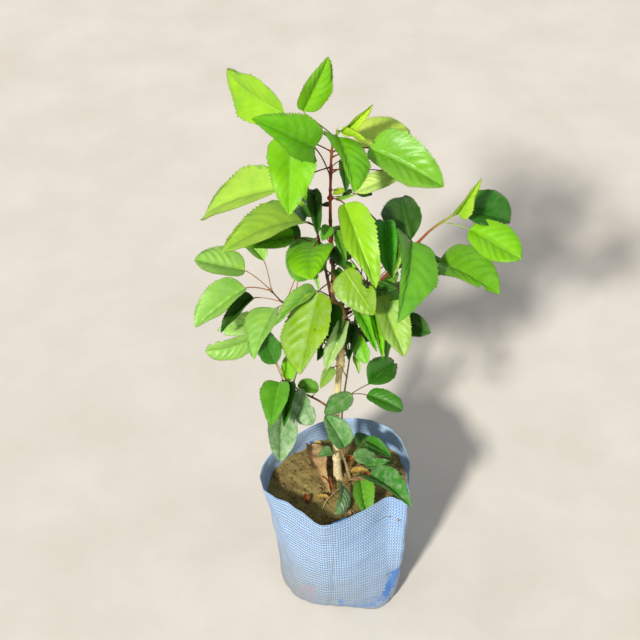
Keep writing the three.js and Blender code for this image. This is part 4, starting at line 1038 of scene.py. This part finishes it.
def bag_mesh():
    levels = np.concatenate([np.linspace(0, 24, 13), np.linspace(24, 190, 56)[1:], np.linspace(190, RIM_Z, 15)[1:]])
    inside_levels = np.linspace(RIM_Z, 150, 24)
    rim_rng = waves(31, 5, 60.0)
    outer = [bag_skin(z) for z in levels]
    top = outer[-1]
    lift = 0.9 * rim_rng(top)
    lift[-1] = lift[0]
    for i, z in enumerate(levels):
        k = smooth_step(np.array([(z - 150) / 70]))[0]
        outer[i][:, 2] += lift * k
    inner = []
    for z in inside_levels:
        k = smooth_step(np.array([(z - 150) / 70]))[0]
        r = bag_skin(z, inner=0.55 + 0.75 * smooth_step(np.array([(RIM_Z - z) / 12]))[0])
        r[:, 2] += lift * k
        inner.append(r)
    inner[0][:, 2] += 0.25
    cols = len(top)
    p = Patch()
    p.add(np.vstack(outer + inner), grid_faces(len(outer) + len(inner), cols))
    foot = outer[0]
    m = len(p.points[0])
    rings = [foot * np.array([k, k, 1]) for k in (0.97, 0.7, 0.4, 0.12)]
    p.add(np.vstack(rings), [f[::-1] for f in grid_faces(4, cols)])
    for c in range(cols - 1):
        p.faces.append((c + 1, c, m + c, m + c + 1))
        p.slots.append(0)
    # weave coordinates: round the bag and up it, in metres
    mid = outer[30]
    along = np.concatenate([[0], np.cumsum(np.linalg.norm(np.diff(mid, axis=0), axis=1))])
    uv = []
    for i, ring in enumerate(outer + inner):
        if i < len(outer):
            v = float(levels[i])
        else:
            v = RIM_Z + 8 + (RIM_Z - float(inside_levels[i - len(outer)]))
        uv += [(a * MM + 0.01, v * MM + 0.12) for a in along]
    for k in (0.97, 0.7, 0.4, 0.12):
        uv += [(0.2 + x * MM * k / 2, 0.6 + y * MM * k / 2) for x, y, _ in foot]
    return p, uv


def bag_material():
    k = Nodes("woven_plastic")
    uvn = k.new("ShaderNodeUVMap", uv_map="OFBake")
    sep = k.new("ShaderNodeSeparateXYZ")
    k.link(uvn.outputs[0], sep.inputs[0])
    u, v = sep.outputs[0], sep.outputs[1]
    pitch, across = 0.0058, 0.0034
    within = k.math("GREATER_THAN", v, 0.12 + (RIM_Z + 4) * MM)
    wander = k.math("MULTIPLY", k.math("SUBTRACT", k.noise(22, 2), 0.5), 0.0016)
    v = k.math("ADD", v, wander)
    vr = k.math("DIVIDE", v, pitch)
    fv = k.math("FRACT", vr)
    ur = k.math("DIVIDE", u, across)
    # two half rows of tapes to a pitch: one mostly blue, one mostly white
    upper = k.math("LESS_THAN", fv, 0.5)
    # on the left the blue runs almost unbroken along the rows, on the right it is broken into squares
    spot = k.new("ShaderNodeSeparateXYZ")
    k.link(k.place, spot.inputs[0])
    right = k.new("ShaderNodeMapRange")
    right.inputs["From Min"].default_value, right.inputs["From Max"].default_value = -0.03, 0.02
    k.link(spot.outputs["X"], right.inputs["Value"])
    share_a = k.math("SUBTRACT", 0.92, k.math("MULTIPLY", right.outputs[0], 0.24))
    share_b = k.math("ADD", 0.10, k.math("MULTIPLY", right.outputs[0], 0.34))
    dash_a = k.math("LESS_THAN", k.math("FRACT", ur), share_a)
    dash_b = k.math("LESS_THAN", k.math("FRACT", k.math("ADD", ur, 0.5)), share_b)
    blue = k.math("ADD", k.math("MULTIPLY", upper, dash_a), k.math("MULTIPLY", k.math("SUBTRACT", 1.0, upper), dash_b))
    white = k.mix(k.noise(30, 3), linear((206, 224, 240)), linear((228, 241, 250)))
    tape = k.mix(k.noise(46, 3), linear((74, 136, 203)), linear((106, 163, 219)))
    cloth = k.mix(blue, white, tape)
    # the inner face is paler and plainer, with cloudy stains, then lightened evenly towards blue-white as painted
    # sunlight
    lining = k.mix(k.ramp(k.noise(18, 4, 0.6), [(0.35, (0, 0, 0)), (0.68, (1, 1, 1))]), linear((178, 208, 240)), linear((208, 228, 250)))
    cloth = k.mix(k.math("MULTIPLY", within, 0.3), cloth, lining)
    # painted sunlight on the inner face
    cloth = k.mix(k.math("MULTIPLY", within, 0.3), cloth, linear((200, 232, 255)))
    # dust from the ground low down on the left, and painted shade that darkens the whole bag towards its foot
    pos = k.new("ShaderNodeSeparateXYZ")
    k.link(k.place, pos.inputs[0])
    low = k.new("ShaderNodeMapRange")
    low.inputs["From Min"].default_value, low.inputs["From Max"].default_value = 0.11, 0.0
    k.link(pos.outputs["Z"], low.inputs["Value"])
    left = k.new("ShaderNodeMapRange")
    left.inputs["From Min"].default_value, left.inputs["From Max"].default_value = 0.05, -0.11
    left.inputs["To Min"].default_value = 0.35
    k.link(pos.outputs["X"], left.inputs["Value"])
    dust = k.math("MULTIPLY", low.outputs[0], k.ramp(k.noise(26, 5, 0.65), [(0.3, (0.25, 0.25, 0.25)), (0.7, (1, 1, 1))]))
    dust = k.math("MULTIPLY", dust, left.outputs[0])
    cloth = k.mix(k.math("MULTIPLY", dust, 0.95), cloth, linear((170, 158, 126)))
    # painted shade: a grey darkening that grows towards the foot of the bag
    painted_low_shade = k.new("ShaderNodeMapRange")
    painted_low_shade.inputs["From Min"].default_value, painted_low_shade.inputs["From Max"].default_value = 0.13, 0.02
    k.link(pos.outputs["Z"], painted_low_shade.inputs["Value"])
    cloth = k.mix(k.math("MULTIPLY", painted_low_shade.outputs[0], 0.32), cloth, linear((114, 112, 106)))
    # a broken grey line that runs down the front from the dip in the rim, and a worn blue patch low on the right
    front = k.math("LESS_THAN", pos.outputs["Y"], -0.04)
    ragged = k.math("MULTIPLY", k.math("SUBTRACT", k.noise(46, 4, 0.7), 0.5), 0.010)
    line = k.math("LESS_THAN", k.math("ABSOLUTE", k.math("ADD", k.math("ADD", pos.outputs["X"], 0.009), ragged)), 0.0015)
    line = k.math("MULTIPLY", line, k.math("MULTIPLY", front, k.math("MULTIPLY", k.math("LESS_THAN", pos.outputs["Z"], 0.2), k.ramp(k.noise(70, 3), [(0.4, (0, 0, 0)), (0.55, (1, 1, 1))]))))
    cloth = k.mix(k.math("MULTIPLY", line, 0.34), cloth, linear((132, 130, 124)))
    middle = k.math("ADD", k.math("MULTIPLY", pos.outputs["Z"], 0.304), 0.0593)
    torn = k.math("MULTIPLY", k.math("SUBTRACT", k.noise(92, 4, 0.8), 0.5), 0.036)
    off = k.math("ABSOLUTE", k.math("ADD", k.math("SUBTRACT", pos.outputs["X"], middle), torn))
    high = k.math("ABSOLUTE", k.math("SUBTRACT", k.math("ADD", pos.outputs["Z"], torn), 0.050))
    worn = k.math("MULTIPLY", k.math("LESS_THAN", off, 0.0060), k.math("MULTIPLY", k.math("LESS_THAN", high, 0.028), front))
    cloth = k.mix(k.math("MULTIPLY", worn, 0.85), cloth, linear((50, 126, 214)))
    # traces of the same blue along the foot, and a faint reddish stain low on the left
    along = k.math("LESS_THAN", k.math("ABSOLUTE", k.math("ADD", k.math("SUBTRACT", pos.outputs["X"], 0.031), torn)), 0.030)
    foot = k.math("LESS_THAN", k.math("ABSOLUTE", k.math("ADD", k.math("SUBTRACT", pos.outputs["Z"], 0.018), torn)), 0.011)
    flecks = k.ramp(k.noise(75, 4, 0.75), [(0.46, (0, 0, 0)), (0.56, (1, 1, 1))])
    traces = k.math("MULTIPLY", k.math("MULTIPLY", along, foot), k.math("MULTIPLY", flecks, front))
    cloth = k.mix(k.math("MULTIPLY", traces, 0.55), cloth, linear((62, 134, 216)))
    beside = k.math("LESS_THAN", k.math("ABSOLUTE", k.math("ADD", k.math("ADD", pos.outputs["X"], 0.043), torn)), 0.011)
    level = k.math("LESS_THAN", k.math("ABSOLUTE", k.math("SUBTRACT", pos.outputs["Z"], 0.028)), 0.017)
    stain = k.math("MULTIPLY", k.math("MULTIPLY", beside, level), k.math("MULTIPLY", k.ramp(k.noise(58, 3, 0.7), [(0.42, (0, 0, 0)), (0.6, (1, 1, 1))]), front))
    cloth = k.mix(k.math("MULTIPLY", stain, 0.45), cloth, linear((190, 138, 146)))
    smear = k.ramp(k.noise(11, 5, 0.7), [(0.56, (0, 0, 0)), (0.72, (1, 1, 1))])
    cloth = k.mix(k.math("MULTIPLY", smear, 0.3), cloth, linear((170, 176, 190)))
    shader = k.principled(0.38, 0.45)
    k.link(cloth, shader.inputs["Base Color"])
    hv = k.math("PINGPONG", v, pitch / 4)
    hu = k.math("PINGPONG", u, across / 2)
    height = k.math("ADD", k.math("MULTIPLY", hv, 0.5), k.math("MULTIPLY", hu, 0.35))
    height = k.math("ADD", k.math("MULTIPLY", height, 400.0), k.math("MULTIPLY", k.noise(160, 3), 0.4))
    k.link(k.bump(height, 0.35, 0.0009), shader.inputs["Normal"])
    tr = k.new("ShaderNodeBsdfTranslucent")
    tr.inputs["Color"].default_value = (*linear((150, 200, 246)), 1)
    mixer = k.new("ShaderNodeMixShader")
    mixer.inputs[0].default_value = 0.22
    k.link(shader.outputs[0], mixer.inputs[1])
    k.link(tr.outputs[0], mixer.inputs[2])
    k.link(mixer.outputs[0], k.out.inputs[0])
    return k.m


bag_patch, bag_uv = bag_mesh()
bag = make("grow_bag_weave", bag_patch, [bag_material()])
layer = bag.data.uv_layers.new(name="OFBake")
for loop in bag.data.loops:
    layer.data[loop.index].uv = bag_uv[loop.vertex_index]
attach(bag, "root")
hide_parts("grow_bag")

# a strip of the hem folded over at the dip in the front of the rim
front_rim = bag_skin(RIM_Z - 1.5, inner=1.9)
near = [q for q in front_rim[:-1] if q[1] < -60 and -14 < q[0] < 12]
near = catmull(sorted((tuple(q) for q in near), key=lambda q: q[0]), 14)
fold = Patch()
strip = []
for i, q in enumerate(near):
    droop = 1.2 + 2.6 * math.sin(math.pi * (i + 1) / 15)
    for dz, dy in ((1.6, 0.2), (0.4, 0.9), (-droop * 0.5, 1.1), (-droop, 0.8)):
        strip.append(q + np.array([0.0, dy, dz]))
fold.add(strip, grid_faces(len(near), 4))
fold.add([q + np.array([0.0, 0.45, 0.0]) for q in strip], [f[::-1] for f in grid_faces(len(near), 4)])
hem = make("folded_hem", fold, [plain_material("folded_hem", (64, 136, 196), (98, 168, 220), 0.5, 420, 0.3, 0.0004)])
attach(hem, "root")

# ---------------------------------------------------------------------------
# soil and what lies on it
# ---------------------------------------------------------------------------
soil_a, soil_b, soil_c, soil_d = waves(51, 6, 52.0), waves(52, 8, 19.0), waves(53, 9, 7.0), waves(54, 10, 2.8)


def soil_height(x, y):
    q = np.stack([x, y, np.zeros_like(x)], -1)
    near = np.exp(-(((x - 2) ** 2 + (y - 11) ** 2) / 24**2))
    z = SOIL_Z + 1.5 + 1.6 * soil_a(q) + 1.1 * soil_b(q) + 0.55 * soil_c(q) + 0.25 * soil_d(q)
    return z * (1 - near) + near * (STEM_Z + 1.6 + 0.5 * soil_c(q) + 0.25 * soil_d(q))


def soil_mesh():
    edge = bag_skin(176.0, inner=0.2)
    cols = len(edge)
    shares = np.concatenate([np.linspace(1.0, 0.9, 7), np.linspace(0.9, 0.02, 66)[1:]])
    rings = []
    for s in shares:
        r = edge * np.array([s, s, 1])
        r[:, 2] = soil_height(r[:, 0], r[:, 1]) + (2.2 * smooth_step(np.array([(s - 0.93) / 0.07]))[0])
        r[-1] = r[0]
        rings.append(r)
    p = Patch()
    p.add(np.vstack(rings), grid_faces(len(rings), cols))
    m = len(p.points[0])
    centre = rings[-1].mean(0)
    p.add([centre], [])
    for c in range(cols - 1):
        a = (len(rings) - 1) * cols + c
        p.faces.append((a, a + 1, m))
        p.slots.append(0)
    return p


def soil_material(name, damp, dry, pale):
    k = Nodes(name)
    a = k.ramp(k.noise(34, 5, 0.65), [(0.36, (0, 0, 0)), (0.64, (1, 1, 1))])
    b = k.ramp(k.noise(320, 5, 0.7), [(0.4, (0, 0, 0)), (0.66, (1, 1, 1))])
    colour = k.mix(a, linear(damp), linear(dry))
    colour = k.mix(k.math("MULTIPLY", b, 0.5), colour, linear(pale))
    grit = k.new("ShaderNodeTexVoronoi")
    grit.inputs["Scale"].default_value = 420
    k.link(k.place, grit.inputs["Vector"])
    fleck = k.ramp(grit.outputs["Distance"], [(0.0, (1, 1, 1)), (0.2, (0, 0, 0))])
    colour = k.mix(k.math("MULTIPLY", fleck, 0.3), colour, linear((180, 162, 116)))
    shader = k.principled(0.95, 0.15)
    k.link(colour, shader.inputs["Base Color"])
    k.link(k.bump(k.noise(700, 6, 0.75), 0.9, 0.0016), shader.inputs["Normal"])
    k.link(shader.outputs[0], k.out.inputs[0])
    return k.m


soil = make("potting_soil", soil_mesh(), [soil_material("soil_top", (114, 98, 54), (156, 138, 82), (180, 162, 106))])
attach(soil, "root")
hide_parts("soil")


def lump(patch, at, size, rng, squash=0.7, sub=2):
    import bmesh

    bm = bmesh.new()
    bmesh.ops.create_icosphere(bm, subdivisions=sub, radius=1.0)
    pts = np.array([v.co[:] for v in bm.verts])
    faces = [tuple(v.index for v in f.verts) for f in bm.faces]
    bm.free()
    w1, w2 = waves(rng.randrange(10**6), 5, 2.2), waves(rng.randrange(10**6), 6, 0.8)
    pts = pts * (1 + 0.16 * w1(pts) + 0.07 * w2(pts))[:, None]
    pts = pts * np.array([rng.uniform(0.8, 1.3), rng.uniform(0.8, 1.3), squash]) * size
    a = rng.uniform(0, 6.28)
    rot = np.array([[math.cos(a), -math.sin(a), 0], [math.sin(a), math.cos(a), 0], [0, 0, 1]])
    patch.add(pts @ rot.T + np.array(at), faces)


clods, pebbles = Patch(), Patch()
rng = random.Random(611)
edge = bag_skin(178.0, inner=1.5)[:-1]
placed = 0
while placed < 460:
    a = rng.randrange(len(edge))
    s = math.sqrt(rng.random()) * 0.95
    x, y = edge[a][0] * s, edge[a][1] * s
    if (x - 2) ** 2 + (y - 11) ** 2 < 10**2:
        continue
    size = 0.9 + 3.4 * rng.random() ** 3.2
    z = float(soil_height(np.array([x]), np.array([y]))[0]) + size * 0.25
    lump(clods if rng.random() < 0.88 else pebbles, (x, y, z), size, rng, rng.uniform(0.55, 0.85), 2 if size > 2 else 1)
    placed += 1
for name, patch, m in (
    ("soil_crumbs", clods, soil_material("crumb", (104, 86, 50), (146, 126, 78), (170, 150, 100))),
    ("grit", pebbles, plain_material("grit", (150, 128, 96), (110, 92, 70), 0.85, 500, 0.5, 0.0005)),
):
    piece = make(name, patch, [m])
    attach(piece, "root")


def dead_leaf(patch, base, tip, width, lift, curl, twist, seed, tipness=1.6):
    """A dry leaf: a long sheet rolled across and arched along, 0.4 mm thick."""
    rng = random.Random(seed)
    base, tip = np.array(base, float), np.array(tip, float)
    along = tip - base
    length = np.linalg.norm(along)
    m = along / length
    side = np.cross([0, 0, 1.0], m)
    side /= np.linalg.norm(side)
    upv = np.cross(m, side)
    n, c = 26, 13
    w1, w2 = waves(rng.randrange(9999), 6, 12.0), waves(rng.randrange(9999), 6, 9.0)
    pts = []
    for i in range(n):
        t = i / (n - 1)
        h = half_width(np.array([t]), 0.4, tipness)[0] * width / 2 + 0.3
        turn = twist * (t - 0.4)
        for j in range(c):
            s = -1 + 2 * j / (c - 1)
            a = s * curl
            x, z = (math.sin(a) / curl) * h, ((1 - math.cos(a)) / curl) * h
            q = base + m * (t * length) + upv * (lift * math.sin(math.pi * t))
            xs, zs = x * math.cos(turn) - z * math.sin(turn), x * math.sin(turn) + z * math.cos(turn)
            pts.append(q + side * xs + upv * zs)
    pts = np.array(pts)
    pts = pts + upv * (1.1 * w1(pts))[:, None] + side * (0.8 * w2(pts))[:, None]
    g = pts.reshape(n, c, 3)
    nr = np.cross(np.gradient(g, axis=1), np.gradient(g, axis=0))
    nr /= np.maximum(np.linalg.norm(nr, axis=2), 1e-9)[..., None]
    back = (g - nr * 0.4).reshape(-1, 3)
    f = grid_faces(n, c)
    patch.add(pts, f)
    patch.add(back, [q[::-1] for q in f])


litter = {
    "dry_brown_leaf": ((196, 164, 118), (158, 122, 82), [((-43, 66, 190), (-12, -22, 184), 36, 9, 1.25, 1.1, 1, 1.2)]),
    "dry_rust_leaf": ((184, 102, 48), (104, 56, 26), [((-26, 14, 188), (-6, -23, 183), 10, 6, 1.3, -0.9, 2, 1.6), ((-46, -26, 184), (-43, -44, 182), 11, 2, 0.7, 0.2, 3, 1.6), ((10, 42, 184), (27, 38, 184), 9, 2, 0.6, 0.2, 4, 1.8)]),
    "dry_straw": ((200, 172, 84), (162, 130, 64), [((-34, -31, 184.5), (-12, -34, 184), 9, 2.5, 1.6, 0.1, 5, 4.0), ((15, 13, 186), (42, 17, 186), 13, 3, 0.9, 0.3, 6, 2.4), ((-34, 75, 184), (-22, 70, 184), 8, 2, 0.8, 0.2, 7, 1.8)]),
}
for name, (a, b, sheets) in litter.items():
    patch = Patch()
    for args in sheets:
        dead_leaf(patch, args[0], args[1], args[2], args[3], args[4], args[5], args[6], args[7])
    extra = random.Random(len(name) * 31)
    count = {"dry_brown_leaf": 7, "dry_rust_leaf": 9, "dry_straw": 6}[name]
    while count:
        e = edge[extra.randrange(len(edge))] * (0.25 + 0.62 * extra.random())
        if e[0] < -4 and e[1] > -60 and e[1] < 40:
            continue
        d = bearing(extra.uniform(0, 360), 0) * extra.uniform(6, 15)
        z = float(soil_height(e[:1], e[1:2])[0]) + 1.8
        dead_leaf(patch, (e[0], e[1], z), (e[0] + d[0], e[1] + d[1], z), extra.uniform(4, 8), extra.uniform(0.5, 2), extra.uniform(0.5, 1.2), extra.uniform(-0.5, 0.5), extra.randrange(999), 1.6)
        count -= 1
    piece = make(name, patch, [plain_material(name, a, b, 0.8, 90, 0.6, 0.0008, 0.2)])
    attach(piece, "root")

# fine dry stalks on the soil
straws = Patch()
rng = random.Random(902)
for k in range(26):
    e = edge[rng.randrange(len(edge))] * (0.15 + 0.7 * rng.random())
    d = bearing(rng.uniform(0, 360), rng.uniform(-4, 10)) * rng.uniform(8, 26)
    z = float(soil_height(e[:1], e[1:2])[0]) + 1.2
    a = np.array([e[0], e[1], z])
    path = catmull([a, a + d * 0.5 + [rng.uniform(-2, 2), rng.uniform(-2, 2), rng.uniform(0, 1.5)], a + d], 7)
    tube(straws, path, np.full(7, rng.uniform(0.25, 0.6)), 5)
piece = make("dry_stalks", straws, [plain_material("dry_stalk", (190, 160, 110), (140, 110, 70), 0.8, 200, 0.3, 0.0003)])
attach(piece, "root")

# ---------------------------------------------------------------------------
# stage
# ---------------------------------------------------------------------------
floor_patch = Patch()
span = 6000.0
floor_patch.add([(-span, -span, -0.2), (span, -span, -0.2), (span, span, -0.2), (-span, span, -0.2)], [(0, 1, 2, 3)])
floor = make("floor", floor_patch, [plain_material("floor", (226, 220, 210), (218, 211, 200), 0.9, 6, 0.05, 0.0005, 0.1)], smooth=False)

cam_data = bpy.data.cameras.new("camera")
cam_data.sensor_width = 36.0
cam_data.sensor_fit = "HORIZONTAL"
cam_data.lens = FOCAL_PX / 640 * 36.0
cam_data.clip_start, cam_data.clip_end = 0.05, 50.0
cam = bpy.data.objects.new("camera", cam_data)
cam.location = Vector(CAM_AT * MM)
cam.rotation_euler = (math.pi / 2 - CAM_DOWN, 0, 0)
bpy.context.scene.collection.objects.link(cam)
bpy.context.scene.camera = cam

key_data = bpy.data.lights.new("key", "SUN")
key_data.energy = 3.9
key_data.color = (1.0, 0.965, 0.9)
key_data.angle = math.radians(5)
key = bpy.data.objects.new("key", key_data)
key.rotation_euler = Vector(SUN_TO).to_track_quat("-Z", "Y").to_euler()
key.location = (-1, -2, 2)
bpy.context.scene.collection.objects.link(key)

world = bpy.data.worlds.new("studio")
world.use_nodes = True
sky = world.node_tree.nodes["Background"]
sky.inputs["Color"].default_value = (0.93, 0.96, 1.0, 1)
sky.inputs["Strength"].default_value = 0.4
bpy.context.scene.world = world
bpy.context.scene.view_settings.view_transform = "Standard"
bpy.context.scene.view_settings.look = "None"
